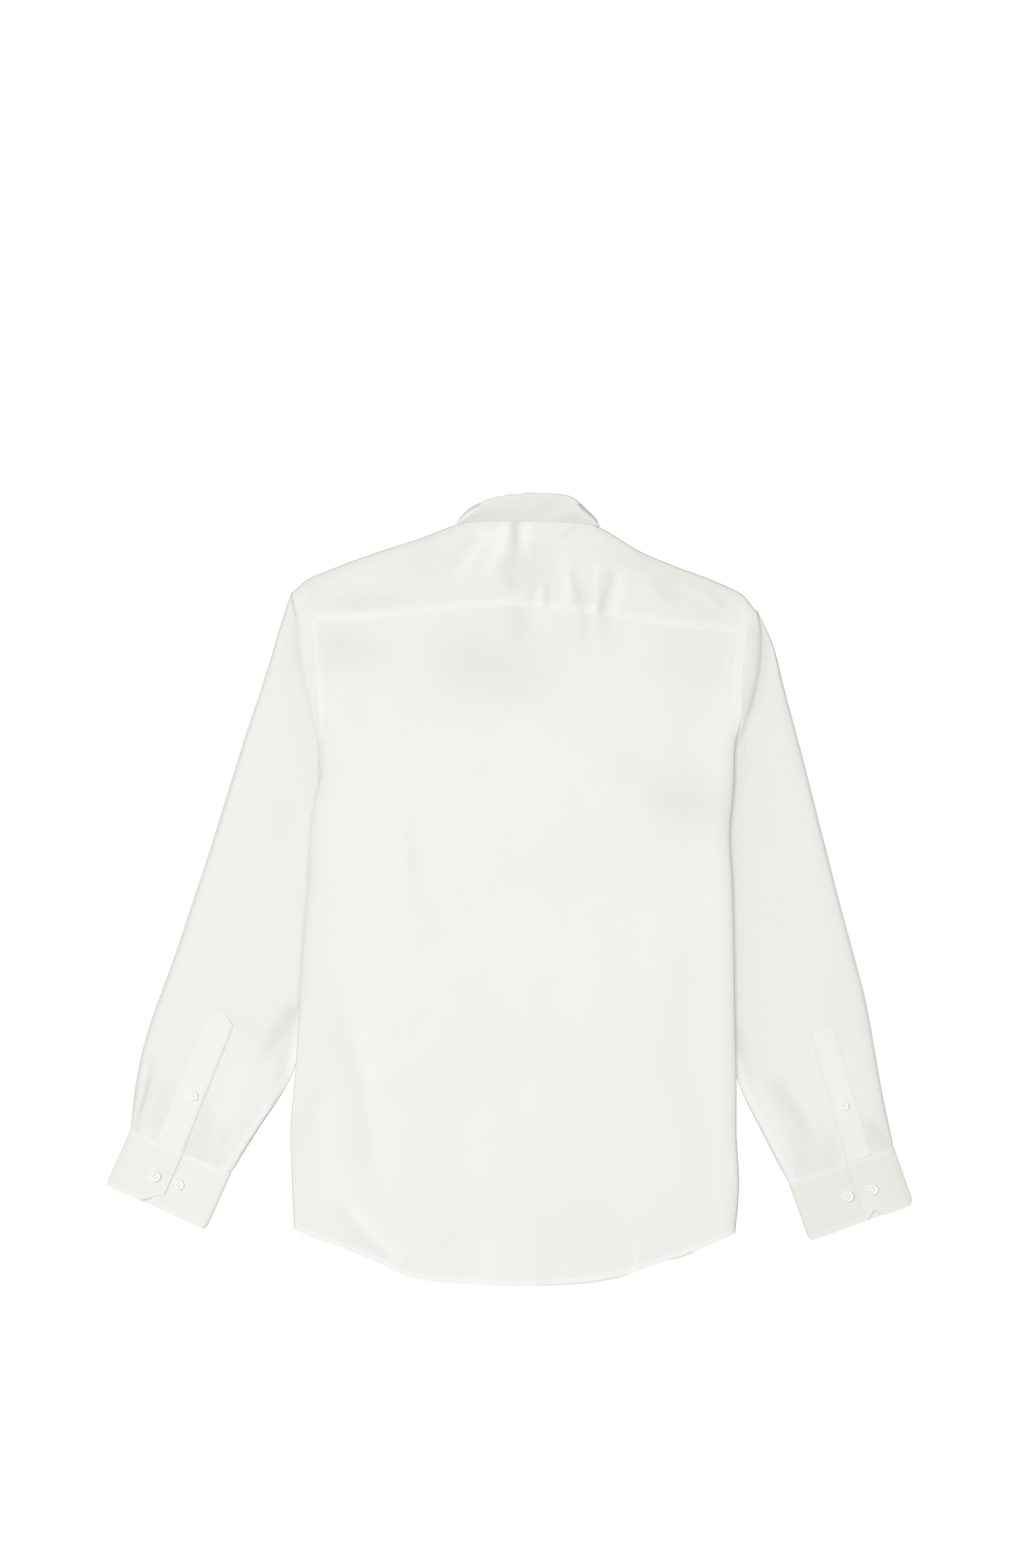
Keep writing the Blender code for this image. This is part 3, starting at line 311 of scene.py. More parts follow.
# %% [markdown]
# ## Putting cloth into a mesh
# Real poplin is a quarter of a millimetre thick and shows its thickness only at folded edges and hems.
# Solidify could give a wall to a single sheet, but here the wall is worked out with the grid, because
# hems and felled seams are two and three plies thick in bands that follow the grid. Each piece also
# carries a thread map, in metres along weft and warp, and a number that says how many plies lie there,
# with painted light and shade added to it for the colour.

# %% Cloth pieces
def grid_normals(grid, closed):
    """Unit normals: the cross products of the faces' diagonals, added up at each point."""
    ahead = np.roll(grid, -1, axis=1) if closed else grid[:, 1:]
    here = grid if closed else grid[:, :-1]
    face = np.cross(ahead[1:] - here[:-1], here[1:] - ahead[:-1])
    total = np.zeros_like(grid)
    for rows in (slice(None, -1), slice(1, None)):
        if closed:
            total[rows] += face + np.roll(face, 1, axis=1)
        else:
            total[rows, :-1] += face
            total[rows, 1:] += face
    return total / np.maximum(np.linalg.norm(total, axis=2, keepdims=True), 1e-9)


def thread_map(grid):
    """Distances along the cloth in metres: across from the middle column, and up from the first row."""
    across = np.linalg.norm(np.diff(grid, axis=1), axis=2)
    u = np.concatenate([np.zeros((len(grid), 1)), np.cumsum(across, axis=1)], axis=1)
    u = u - u[:, u.shape[1] // 2][:, None]
    up = np.linalg.norm(np.diff(grid, axis=0), axis=2).mean(axis=1)
    v = np.concatenate([[0.0], np.cumsum(up)])[:, None] + np.zeros_like(u)
    return np.stack([u, v], axis=-1) * MM


def quads(index):
    """Four corners a face from a grid of point numbers."""
    return np.stack([index[:-1, :-1], index[:-1, 1:], index[1:, 1:], index[1:, :-1]], axis=-1).reshape(-1, 4)


def round_quads(index):
    """The same for rings that close on themselves, each face from ring to ring first."""
    after = np.roll(index, -1, axis=1)
    return np.stack([index[:-1], index[1:], after[1:], after[:-1]], axis=-1).reshape(-1, 4)


SEWN = {}      # cloth pieces by node: object, grid of middle points, closed or not


def new_piece(name, points, faces, look):
    """One object from points in millimetres and faces of three or more corners."""
    mesh = bpy.data.meshes.new(name)
    mesh.from_pydata(((points - np.array([*ORIGIN, 0.0])) * MM).tolist(), [], faces)
    mesh.shade_smooth()
    mesh.materials.append(look)
    piece = bpy.data.objects.new(name, mesh)
    bpy.context.scene.collection.objects.link(piece)
    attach(piece, "root")
    return piece


def cloth_piece(node, grid, look, ply=PLY, plies=None, closed=False, tone=0.0):
    """A wall about a grid of middle points, half its thickness to each side, closed round its rim.

    The ply count sets the thickness. The tone, painted light and shade, is added to it only for the
    colour. The grid is returned.
    """
    plies = np.ones(grid.shape[:2]) if plies is None else plies
    tone = np.broadcast_to(tone, plies.shape)
    normal = grid_normals(grid, closed)
    half = (ply * (1.0 + 0.45 * (plies - 1.0)) / 2.0)[..., None]
    points = np.concatenate([grid + normal * half, grid - normal * half]).reshape(-1, 3)
    points[:, 2] = np.maximum(points[:, 2], TABLE_CLEAR)
    rows, columns = grid.shape[:2]
    index = np.arange(rows * columns).reshape(rows, columns)
    under = rows * columns
    if closed:
        index = np.concatenate([index, index[:, :1]], axis=1)
    top = quads(index)
    rims = [index[0], index[-1, ::-1]]
    if not closed:
        rims += [index[::-1, 0], index[:, -1]]
    edges = [np.stack([e[1:], e[:-1], e[:-1] + under, e[1:] + under], axis=-1) for e in rims]
    faces = np.concatenate([top, (top + under)[:, [0, 3, 2, 1]], *edges])
    piece = new_piece(node + "_cloth", points, faces.tolist(), look)
    mesh = piece.data
    mesh.set_sharp_from_angle(angle=math.radians(55))
    corner = np.empty(len(mesh.loops), np.int32)
    mesh.loops.foreach_get("vertex_index", corner)
    threads = np.tile(thread_map(grid).reshape(-1, 2), (2, 1))
    mesh.uv_layers.new(name="threads").data.foreach_set("uv", threads[corner].astype(np.float32).ravel())
    # the plies attribute holds the ply count plus the tone, which is painted light and shade
    mesh.attributes.new("plies", "FLOAT", "POINT").data.foreach_set(
        "value", np.tile((plies + tone).ravel(), 2).astype(np.float32))
    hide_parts(node)
    print(f"{node}: {len(faces)} faces")
    SEWN[node] = (piece, grid, closed)
    return grid


# %% [markdown]
# ## Poplin
# Poplin has fine round threads at right angles, with a dry, even surface. Up close each thread is a
# small ridge, so the bump is two sine waves at right angles, one for the warp and one for the weft,
# read from the piece's own thread map. Broader, weaker noise stands for slack threads and for the
# soft rumple that pressing leaves. Where seam turnings lie under the top ply less light gets through
# the cloth, so those bands are a little brighter. The plies number gives that, and it also carries
# painted shade: it is lowered where shade falls, in hollows, troughs and beside edges, and raised on
# fold ridges as a painted highlight.

# %% Cloth and thread materials
def new_look(name):
    """A material, its node tree and its shader."""
    look = bpy.data.materials.new(name)
    look.use_nodes = True
    return look, look.node_tree, look.node_tree.nodes["Principled BSDF"]


def node(tree, kind, **settings):
    """A shader node with its settings and socket values."""
    made = tree.nodes.new(kind)
    for key, value in settings.items():
        if key.startswith("set_"):
            setattr(made, key[4:], value)
        else:
            made.inputs[key.replace("_", " ")].default_value = value
    return made


def fed(tree, source, socket, kind, **settings):
    """A node with one output linked to one of its sockets."""
    made = node(tree, kind, **settings)
    tree.links.new(source, made.inputs[socket])
    return made


def ranged(tree, source, low, high, to_low=0.0, to_high=1.0):
    """The source's values from low to high, mapped to another range."""
    spread = dict(From_Min=low, From_Max=high, To_Min=to_low, To_Max=to_high)
    return fed(tree, source, "Value", "ShaderNodeMapRange", **spread).outputs["Result"]


def between(tree, share, dark, bright):
    """A mix of two colours by a share."""
    made = fed(tree, share, 0, "ShaderNodeMix", set_data_type="RGBA")
    made.inputs[6].default_value, made.inputs[7].default_value = (*dark, 1.0), (*bright, 1.0)
    return made.outputs[2]


def bumped(tree, height, strength, distance, under=None):
    """A bump from a height, on top of another bump if one is given."""
    made = fed(tree, height, "Height", "ShaderNodeBump", Strength=strength, Distance=distance)
    if under:
        tree.links.new(under, made.inputs["Normal"])
    return made.outputs["Normal"]


def poplin(name, painted_shade_colour, bright, rumple=1.0, pitch=0.00042):
    """Plain weave: colour from ply count with painted light and shade, and tone noise; bump from two
    thread waves and a soft rumple.

    The colour goes from the painted shade one at -2.5 plies to the bright one at 2.
    """
    look, tree, shader = new_look(name)
    link = tree.links.new
    place = node(tree, "ShaderNodeTexCoord").outputs["Object"]
    threads = node(tree, "ShaderNodeUVMap", set_uv_map="threads").outputs["UV"]

    def noise(vector, scale, detail, roughness):
        return fed(tree, vector, "Vector", "ShaderNodeTexNoise", Scale=scale, Detail=detail,
                   Roughness=roughness).outputs["Fac"]

    tone = noise(place, 9.0, 3.0, 0.5)         # broad, faint patches
    slub = noise(threads, 900.0, 2.0, 0.6)     # thicker stretches of single threads
    plies = node(tree, "ShaderNodeAttribute", set_attribute_name="plies").outputs["Fac"]
    # painted light and shade: where painted shade lowers the plies number, the colour goes towards the
    # painted shade colour
    cloth_colour = between(tree, ranged(tree, plies, -2.5, 2.0), painted_shade_colour, bright)
    shade = fed(tree, ranged(tree, tone, 0.3, 0.7, 0.982, 1.0), 0, "ShaderNodeMath", set_operation="MULTIPLY")
    link(ranged(tree, slub, 0.25, 0.75, 0.965, 1.0), shade.inputs[1])
    toned = fed(tree, cloth_colour, 0, "ShaderNodeVectorMath", set_operation="SCALE")
    link(shade.outputs["Value"], toned.inputs["Scale"])
    link(toned.outputs["Vector"], shader.inputs["Base Color"])

    weave = node(tree, "ShaderNodeMath", set_operation="ADD")
    for socket, direction in enumerate("XY"):
        wave = fed(tree, threads, "Vector", "ShaderNodeTexWave", set_bands_direction=direction,
                   Scale=math.pi / 10.0 / pitch, Distortion=0.6, Detail=1.0, Detail_Scale=0.2)
        link(wave.outputs["Fac"], weave.inputs[socket])
    weave_bump = bumped(tree, weave.outputs["Value"], 0.35, 0.00006)
    rumple_bump = bumped(tree, noise(place, 34.0, 3.0, 0.45), 1.0, 0.0006 * rumple, weave_bump)
    link(rumple_bump, shader.inputs["Normal"])

    link(ranged(tree, slub, 0.3, 0.7, 0.78, 0.9), shader.inputs["Roughness"])
    shader.inputs["Specular IOR Level"].default_value = 0.25
    shader.inputs["Sheen Weight"].default_value = 0.12
    shader.inputs["Sheen Roughness"].default_value = 0.45
    return look


def plain_thread(name, colour):
    """Twisted sewing thread: fine slanted ridges, a little glossier than the cloth."""
    look, tree, shader = new_look(name)
    place = node(tree, "ShaderNodeTexCoord").outputs["Object"]
    twist = fed(tree, place, "Vector", "ShaderNodeTexWave", set_bands_direction="DIAGONAL", Scale=900.0,
                Distortion=0.5).outputs["Fac"]
    tree.links.new(bumped(tree, twist, 0.4, 0.00004), shader.inputs["Normal"])
    tree.links.new(between(tree, twist, [c * 0.94 for c in colour], colour), shader.inputs["Base Color"])
    shader.inputs["Roughness"].default_value = 0.55
    return look


# the dark end of each ramp is a painted shade colour; the ply count alone never reaches it
PAINTED_SHADE_WHITE, BRIGHT_WHITE = (0.686, 0.695, 0.642), (0.902, 0.907, 0.876)
body_poplin = poplin("body_poplin", PAINTED_SHADE_WHITE, BRIGHT_WHITE)
sleeve_poplin = poplin("sleeve_poplin", PAINTED_SHADE_WHITE, BRIGHT_WHITE)
fused_poplin = poplin("fused_poplin", (0.746, 0.754, 0.704), (0.908, 0.913, 0.880), rumple=0.35)
buttonhole_thread = plain_thread("buttonhole_thread", (0.80, 0.795, 0.735))
white_thread = plain_thread("white_thread", (0.88, 0.883, 0.85))
print("cloth looks:", body_poplin.name, sleeve_poplin.name, fused_poplin.name, white_thread.name)


# %% [markdown]
# ## How the body lies
# The fronts lie on the surface, but they are lifted where the sleeves, the buttoned band or the collar's
# points are under them. The back lies on the fronts and rounds up at its sides. These heights are plain
# functions of the place, so that every layer is one ply above the layer below it.

# %% Heights of the layers
BAND_SLOPE, LAP_SLOPE = (3.4, 1.15), (2.4, 1.15)     # where the steps beside the band are, in band shares
LEAF_LEFT, LEAF_RIGHT, LEAF_UP = (0.20, 0.27), (0.80, 0.73), (215.0, 258.0)     # where the points' step is
CALM_LEVEL, CALM_RISE, CALM_NECK = 1.8, 5.2, 1.2     # the back's own level, its rise inside and at the neck
BODY_CLEAR = 0.05                                    # between the back and what it lies on
LEFT_EDGE_FALL = 0.9                                 # how much lower the back's left side is


def front_lift(across, x, y):
    """The highest of three soft steps: over the tucked sleeves, over the buttons, over the collar points."""
    tucked_left = curve(TUCKED_SLEEVES["y"], TUCKED_SLEEVES["left_x"])(y)
    tucked_right = curve(TUCKED_SLEEVES["y"], TUCKED_SLEEVES["right_x"])(y)
    below_armhole = smooth(ARMPIT[1], ARMPIT[0], y)
    near, far = SLEEVE_BESIDE
    over_left = smooth(tucked_left + far, tucked_left + near, x)
    over_right = smooth(tucked_right - far, tucked_right - near, x)
    sleeves = SLEEVE_LIFT * below_armhole * np.maximum(over_left, over_right)
    band = BAND_LIFT * beside_band(across, BAND_SLOPE)
    leaf = COLLAR_LIFT * smooth(*LEAF_LEFT, across) * smooth(*LEAF_RIGHT, across) * smooth(*LEAF_UP, y)
    return np.maximum(sleeves, np.maximum(band, leaf))


def beside_band(across, slope):
    """1 over the band and 0 beside it, with the step over a slope given in band shares."""
    outer, inner = slope
    return smooth(outer * BAND_SHARE, inner * BAND_SHARE, np.abs(across - 0.5))


def lap_lift(across):
    """One layer more where the right front lies on the buttonhole band."""
    return LAYER * beside_band(across, LAP_SLOPE)


def soft_max(first, second, blend):
    """The larger of two, with the step between them rounded: half of a + b + sqrt((a - b)^2 + blend^2)."""
    return 0.5 * (first + second + np.sqrt((first - second) ** 2 + blend**2))


def top_height(across, x, y, edge_share, shaped):
    """The back and yoke: cloth that bridges what is below it in one calm level, then the folds and edges."""
    stack = front_lift(across, x, y) + LAYER + lap_lift(across) + WALL / 2
    rim = from_rim(across)
    calm = CALM_LEVEL + CALM_RISE * smooth(0.0, 0.20, rim) * smooth(-403.0, -300.0, y)
    calm = calm + CALM_NECK * smooth(0.24, 0.40, rim) * smooth(240.0, 320.0, y)
    above = soft_max(stack, calm, 1.4) + 0.15 + shaped
    lowest = stack + BODY_CLEAR
    fall = LEFT_EDGE_FALL * smooth(0.5, 0.4, across) * smooth(-160.0, -112.0, y) * smooth(296.0, 280.0, y)
    bridged = (soft_max(above, lowest, 0.3) - lowest) * (1.0 - edge_share)
    return lowest + bridged + (EDGE_LIFT - fall) * edge_share


BACK_FOLDS = [
    # rise, width, lean, fade in, fade out; then X and Y of each point
    (-0.75, 6, 0.3, 0.35, 0.45, -99, 92, -98, 60, -95, 20, -93, -16),
    (0.45, 11, 0, 0.4, 0.4, -110, 96, -108, 50, -103, -12),
    (-0.35, 9, 0, 0.5, 0.5, -162, 200, -154, 178, -144, 152),
    (-0.9, 20, 0, 0.3, 0.5, -192, 256, -166, 240, -126, 226),
    (-0.95, 12, 0.3, 0.35, 0.25, -184, -66, -176, -100, -164, -150, -152, -205, -143, -270, -133, -332),
    (0.85, 13, 0, 0.35, 0.25, -166, -80, -150, -150, -134, -215, -122, -285, -112, -330),
    (-1.1, 6.5, 0.3, 0.3, 0.1, -182, -312, -166, -336, -147, -358, -120, -381),
    (1.2, 9, 0, 0.3, 0.1, -164, -314, -148, -338, -128, -360, -102, -384),
    (0.9, 6, 0.2, 0.5, 0, 136, -352, 132, -366, 130, -386),
    (-0.7, 5, 0, 0.5, 0, 127, -356, 125, -372, 123, -389),
    (-1, 26, 0, 0.3, 0.3, -72, 246, -30, 222, 16, 210, 54, 222),
    (-0.5, 6, 0.3, 0.4, 0.4, 110, 142, 115, 122, 120, 102),
    (-0.8, 16, 0.2, 0.4, 0.1, 138, 112, 168, 92, 216, 80),
    (0.5, 20, 0, 0.4, 0.4, 60, -36, 74, -90, 80, -150),
    (-0.5, 16, 0.2, 0.4, 0.4, 190, -60, 176, -130, 168, -210),
    (0.5, 18, 0, 0.4, 0.4, 150, -200, 160, -260, 176, -320),
    (0.4, 22, 0, 0.4, 0.4, -40, -200, -30, -262, -34, -330),
]
BACK_PAINTED_SHADES = [
    # the same for painted shade: broad places painted darker where the cloth stands off what is below it
    (-0.62, 28, 0, 0.3, 0.5, -210, 262, -160, 248, -92, 222),
    (-0.55, 46, 0, 0.5, 0.4, -118, 236, -30, 236, 20, 224, 60, 196),
    (-0.6, 13, 0, 0, 0.6, 8, 290, 12, 270, 10, 240),
    (-0.5, 9, 0, 0, 0.7, 76, 290, 80, 262, 86, 236),
    (-0.5, 9, 0, 0, 0.7, 100, 290, 104, 262, 116, 236),
    (-0.6, 34, 0, 0.6, 0.1, 90, 112, 166, 94, 240, 80),
    (-0.45, 30, 0, 0.5, 0.2, 130, 256, 180, 240, 232, 226),
    (-0.3, 14, 0, 0.5, 0.5, -168, 214, -156, 184, -146, 150),
    (-0.3, 12, 0, 0.5, 0.5, -99, 110, -96, 40, -92, -40),
    (-0.25, 20, 0, 0.4, 0.4, -190, -60, -168, -140, -150, -210, -132, -340),
    (-0.25, 12, 0, 0.5, 0.5, 118, 166, 120, 126, 124, 90),
]
# painted shade in the yoke's hollows, as crease lines of the same kind
YOKE_PAINTED_SHADES = [
    (-1.3, 5, 0, 0, 0.6, 6, 372, 7, 358, 10, 340),
    (-0.8, 24, 0, 0.3, 0.4, 8, 356, 20, 330, 30, 292),
    (-0.35, 11, 0, 0.4, 0.5, -210, 298, -150, 292, -90, 300),
    (-0.45, 16, 0, 0.4, 0.5, -64, 356, -84, 334, -104, 306),
    (-0.45, 16, 0, 0.4, 0.4, 130, 326, 180, 304, 228, 282),
    (-0.4, 14, 0, 0.4, 0.5, 90, 352, 126, 334, 156, 314),
    (-0.5, 12, 0, 0.4, 0.4, 66, 312, 84, 300, 104, 292),
]
CROSS_FOLDS = [
    (-0.75, 8, 0, 0.1, 0.6, 10, 296, 13, 286, 12, 262, 4, 226),
    (0.55, 9, 0, 0.1, 0.6, 42, 292, 44, 262, 48, 232),
    (-0.75, 6, 0, 0.1, 0.6, 76, 290, 77, 262, 82, 236),
    (-0.75, 6, 0, 0.1, 0.6, 98, 290, 100, 262, 110, 234),
    (0.6, 5, 0, 0.1, 0.6, 87, 292, 88, 262, 96, 238),
]
YOKE_FOLDS = [
    (-1.9, 3.4, 0.2, 0, 0.7, 6, 371, 7, 358, 8, 343, 10, 322),
    (1.1, 7, 0, 0, 0.6, -3, 372, -6, 352, -18, 322, -30, 304),
    (-0.9, 9, 0, 0.4, 0.3, 3, 346, 2, 322, 8, 296),
    (1, 6, 0, 0, 0.6, 17, 370, 19, 350, 24, 322),
    (-1, 3.6, 0, 0.3, 0.2, 25.6, 310, 25, 296, 24, 280),
    (0.9, 3.8, 0, 0.4, 0.2, 33, 316, 33, 298, 32, 280),
    (-0.9, 3.6, 0, 0.3, 0.2, 40.6, 314, 41, 296, 41, 280),
    (0.9, 6, 0, 0.4, 0.1, 57, 352, 60, 325, 62, 288),
    (-1.1, 4.6, 0, 0.4, 0, 64, 334, 70, 312, 77, 286),
    (1.1, 5, 0, 0.4, 0, 93, 342, 90, 316, 88, 286),
    (-1.4, 4.8, 0.2, 0.3, 0, 110, 330, 104, 306, 98, 284),
    (0.8, 8, 0, 0.4, 0.1, 120, 334, 116, 308, 112, 282),
    (0.9, 7, 0, 0.1, 0.5, -17, 366, -36, 338, -60, 310),
    (-0.8, 8, 0, 0.1, 0.5, -34, 364, -52, 338, -74, 308),
    (-0.9, 4, 0, 0, 0.5, 66, 366, 58, 361, 48, 357),
    (-0.8, 8, 0, 0.3, 0.4, -184, 291, -140, 291, -84, 296),
    (-0.8, 8, 0, 0.3, 0.3, 146, 320, 160, 304, 182, 290),
    (0.7, 8, 0, 0.3, 0.3, 168, 318, 196, 300, 220, 284),
    (-0.6, 6, 0, 0.3, 0.2, 200, 312, 214, 298, 228, 284),
]
# strength of the painted shade in the hollows
PAINTED_HOLLOW_SHADE = 1.25     # how strongly the hollows darken the cloth
print("folds on back, seam and yoke:", len(BACK_FOLDS), len(CROSS_FOLDS), len(YOKE_FOLDS))


# %% [markdown]
# ## One plan for the body
# The back, the yoke and the fronts share one plan. Its lower part is stretched between the hem, the
# sides and the yoke seam, and its upper part between the yoke seam and the shoulders. The columns are
# closer together at the sides, where the cloth turns down, and beside the armholes, where the seam is
# felled. Rows lie close together where a hem or a seam turning ends.

# %% Plan grids
SIDE_SHARES = np.array([0.0, 0.012, 0.0165, 0.0205, 0.0225, 0.0245, 0.0285])
MIDDLE_SHARES = np.linspace(0.035, 0.965, 140)
ACROSS = np.concatenate([SIDE_SHARES, MIDDLE_SHARES, 1.0 - SIDE_SHARES[::-1]])
HEM_STEPS = np.array([0.0, 0.9, 2.6, 4.2, 5.0, 5.7, 6.4, 7.4])
YOKE_STEPS = np.array([0.0, 0.8, 1.6, 3.2, 5.2, 7.0, 8.1, 9.0, 10.2])


def seam_rows(edge_steps, length, count, stop):
    """Shares up each column: the first rows at set distances from the seam, the rest evenly up to stop."""
    first = edge_steps[:, None] / length
    rest = np.linspace(0.0, 1.0, count + 1)[1:, None]
    return np.concatenate([first, first[-1:] + ((length - stop) / length - first[-1:]) * rest])


def lower_plan(across, up):
    """The body from hem to yoke seam."""
    left = path(BODY_SIDES["left_x"], BODY_SIDES["left_y"])
    right = path(BODY_SIDES["right_x"], BODY_SIDES["right_y"])
    sides = (lambda v: left(v[:, :1]), lambda v: right(v[:, -1:]))
    return patch(spans(HEM), spans(YOKE_SEAM), *sides, across, up)


def upper_plan(across, up):
    """The body from yoke seam to shoulders."""
    seam, top = spans(YOKE_SEAM), spans(SHOULDERS)
    ends = np.array([0.0, 1.0])
    low, high = seam(ends), top(ends)
    left = lambda v: low[0] + v[:, :1, None] * (high[0] - low[0])
    right = lambda v: low[1] + v[:, -1:, None] * (high[1] - low[1])
    return patch(seam, top, left, right, across, up)


def column_ends(plan, across):
    """Each column's first and last point."""
    return plan(across, np.array([[0.0], [1.0]]) + np.zeros((2, len(across))))


def column_lengths(plan, across):
    """The length of each column from its first to its last point."""
    first, last = column_ends(plan, across)
    return np.linalg.norm(last - first, axis=1)


def rounded_sides(plan, height, drop, foot, samples=7):
    """Adds columns that turn each side down a quarter circle and on to the foot; drop 0 leaves it flat."""
    grid = np.dstack([plan, height])
    quarter = np.radians(np.linspace(0.0, 90.0, samples + 1)[1:])
    sides = []
    for column, outward in ((0, -1.0), (-1, 1.0)):
        edge_x, edge_y, edge_z = grid[:, column].T
        inner_x = edge_x - outward * (EDGE_ROUND + WALL / 2)
        round_z = np.minimum(EDGE_ROUND, edge_z - foot[:, column] - 0.6)
        low = edge_z - round_z
        reach = outward * EDGE_ROUND
        turned = [(inner_x + reach * math.sin(a), edge_z - round_z * (1 - math.cos(a))) for a in quarter]
        turned += [(inner_x + reach, low + (foot[:, column] - low) * share) for share in (0.5, 1.0)]
        columns = [np.stack([inner_x, edge_y, edge_z], axis=-1)]
        for step, (x, z) in enumerate(turned, start=1):
            flat_x = inner_x + outward * (EDGE_ROUND + WALL / 2) * step / len(turned)
            bent = [flat_x + drop * (x - flat_x), edge_y, edge_z + drop * (z - edge_z)]
            columns.append(np.stack(bent, axis=-1))
        sides.append(columns)
    left, right = sides
    return np.stack(left[::-1] + [grid[:, j] for j in range(1, grid.shape[1] - 1)] + right, axis=1)


def pucker(run, seed):
    """The small gathers that stitching leaves: three sine waves of unlike length, 7 to 19 mm."""
    waves = enumerate(((7.3, 0.5), (11.9, 0.8), (19.1, 0.7)))
    return sum(size * np.sin(2 * math.pi * run / length + seed * (i + 1.7)) for i, (length, size) in waves)


print("columns across the body:", len(ACROSS))

# %% [markdown]
# ## The back
# The back is one panel with a curved hem. Its hem is turned up 6 mm and stitched, and beside each
# armhole the seam is felled flat, which leaves a band about 10 mm wide of three plies. Both are
# thicker strips of the grid here, with the small puckers that stitching leaves along them.

# %% Back panel
SIDE_EXTRA = 9        # columns that rounded_sides adds at each side
BODY_WIDTH = 447.0    # the back's width, which turns shares of it into millimetres
SIDE_HUMP = 1.5       # how far the back stands up beside its sides, over the sleeves' inner parts
SEWN_DEPTH = 0.14     # how far a row of stitches draws the cloth down


def widen(values):
    """Repeats the side columns' values for the columns that turn down."""
    return np.pad(values, ((0, 0), (SIDE_EXTRA, SIDE_EXTRA)), mode="edge")


def felled_band(rim):
    """1 on the band beside the armhole seam, 0 inside it."""
    return 1.0 - smooth(*FELL_END, rim)


def make_back():
    """The plan's lower part at top height, its sides turned down to the side seams."""
    up = seam_rows(HEM_STEPS, column_lengths(lower_plan, ACROSS)[None], 212, 0.0)
    plan = lower_plan(ACROSS, up)
    share = np.broadcast_to(ACROSS, plan.shape[:2])
    rim = from_rim(share)
    x, y = plan[..., 0], plan[..., 1]
    from_hem = y - y[:1]
    from_side = rim * BODY_WIDTH
    above_armpit = smooth(168.0, 190.0, y)
    edge_share = 1.0 - smooth(0.0, 0.07, rim)
    shaped = folds(x, y, BACK_FOLDS + CROSS_FOLDS)
    height = top_height(share, x, y, edge_share, shaped)
    on_top = np.where(share < 0.5, 0.6 * smooth(-112.0, -160.0, y), 1.0)
    height = height + SIDE_HUMP * on_top * (1.0 - hump(from_side, 0.0, 9.0)) * np.exp(-from_side / 45.0)

    # Painted light and shade: lighter on the folds' ridges and darker in their troughs and broad hollows,
    # darker towards the yoke, and a painted shadow along each side below the armpit, beside the sleeve.
    tone = 0.5 * shaped + PAINTED_HOLLOW_SHADE * folds(x, y, BACK_PAINTED_SHADES) - 0.3 * smooth(140.0, 260.0, y)
    left_side_painted_shadow = (0.5 + 0.7 * smooth(-150.0, -100.0, y)) * np.exp(-from_side / 6.0)
    beside = np.where(share < 0.5, left_side_painted_shadow, 1.9 * np.exp(-from_side / 8.0))
    tone = tone - beside * smooth(176.0, 146.0, y)

    hem = 1.0 - smooth(*HEM_END, from_hem)
    sewn = hump(from_hem, HEM_TURN - 1.0, 0.8) + hump(rim, FELL_SEWN, 0.0018) * above_armpit
    near_fell = hump(rim, FELL_SEWN, 0.02) * smooth(160.0, 200.0, y)
    height = height - SEWN_DEPTH * sewn + 0.13 * pucker(x, 0.3) * hump(from_hem, HEM_TURN, 9.0)
    height = height + 0.10 * pucker(y, 1.1) * near_fell
    height = height + 0.10 * pucker(x, 2.2) * hump(y, y[-1:], 14.0) * (1 - edge_share)
    drop = smooth(ARMPIT[1], ARMPIT[0], y[:, 0])
    foot = front_lift(share, x, y)
    plan[-1, :, 1] += 1.0
    height[-1] -= 0.42
    height[-2] -= 0.10
    grid = rounded_sides(plan, height, drop, foot)
    plies = widen(1.0 + np.maximum(hem * 0.7, felled_band(rim) * above_armpit * 0.6))
    return cloth_piece("back", grid, body_poplin, plies=plies, tone=widen(tone))


back_grid = make_back()

# %% [markdown]
# ## The yoke
# The yoke is two plies of poplin. Its lower edge is stitched over the back, whose turning shows as a
# slightly brighter strip above the seam. At the shoulders it rolls forward and under; at the neck it
# runs up to the collar stand. The roll is an arc of a circle that closes to nothing at the neck.

# %% Yoke panel
def yoke_wrap(x):
    """How far the yoke comes forward of the shoulder fold; nothing is left of it at the neck corners."""
    aside = np.abs(x - COLLAR_CENTRE[0])
    return YOKE_WRAP * smooth(NECK_CURL[1] + 4.0, NECK_CURL[1] + 36.0, aside)


def shoulder_inward(across, low, high):
    """Plan direction from the shoulder into the yoke: square to it, and along the armhole at its ends."""
    line = curve(SHOULDERS["x"], SHOULDERS["y"])
    slope = (line(high[:, 0] + 1.0) - line(high[:, 0] - 1.0)) / 2.0
    square = unit(np.stack([slope, -np.ones(len(slope))], axis=-1))
    left, right = unit(low[0] - high[0]), unit(low[-1] - high[-1])
    armhole = np.where(across[:, None] < 0.5, left, right)
    inside = smooth(0.0, 0.12, from_rim(across))[:, None]
    return unit(armhole + (square - armhole) * inside)


def yoke_height(across, x, y, up, shaped):
    """Top height, held up along the shoulders, and lifted to the neck seam between them."""
    side_share = 1.0 - smooth(0.0, 0.07, from_rim(across))
    edge_share = np.maximum(side_share, smooth(0.62, 1.0, up))
    height = top_height(across, x, y, edge_share, shaped)
    high, fall, reach = NECK_RIM
    aside = np.abs(x - COLLAR_CENTRE[0]) / reach
    rim = high - fall * np.minimum(aside, 1.3) ** 2
    near_neck = smooth(338.0, 376.0, y) * smooth(1.5, 1.0, aside)
    return height + np.maximum(rim - height, 0.0) * near_neck


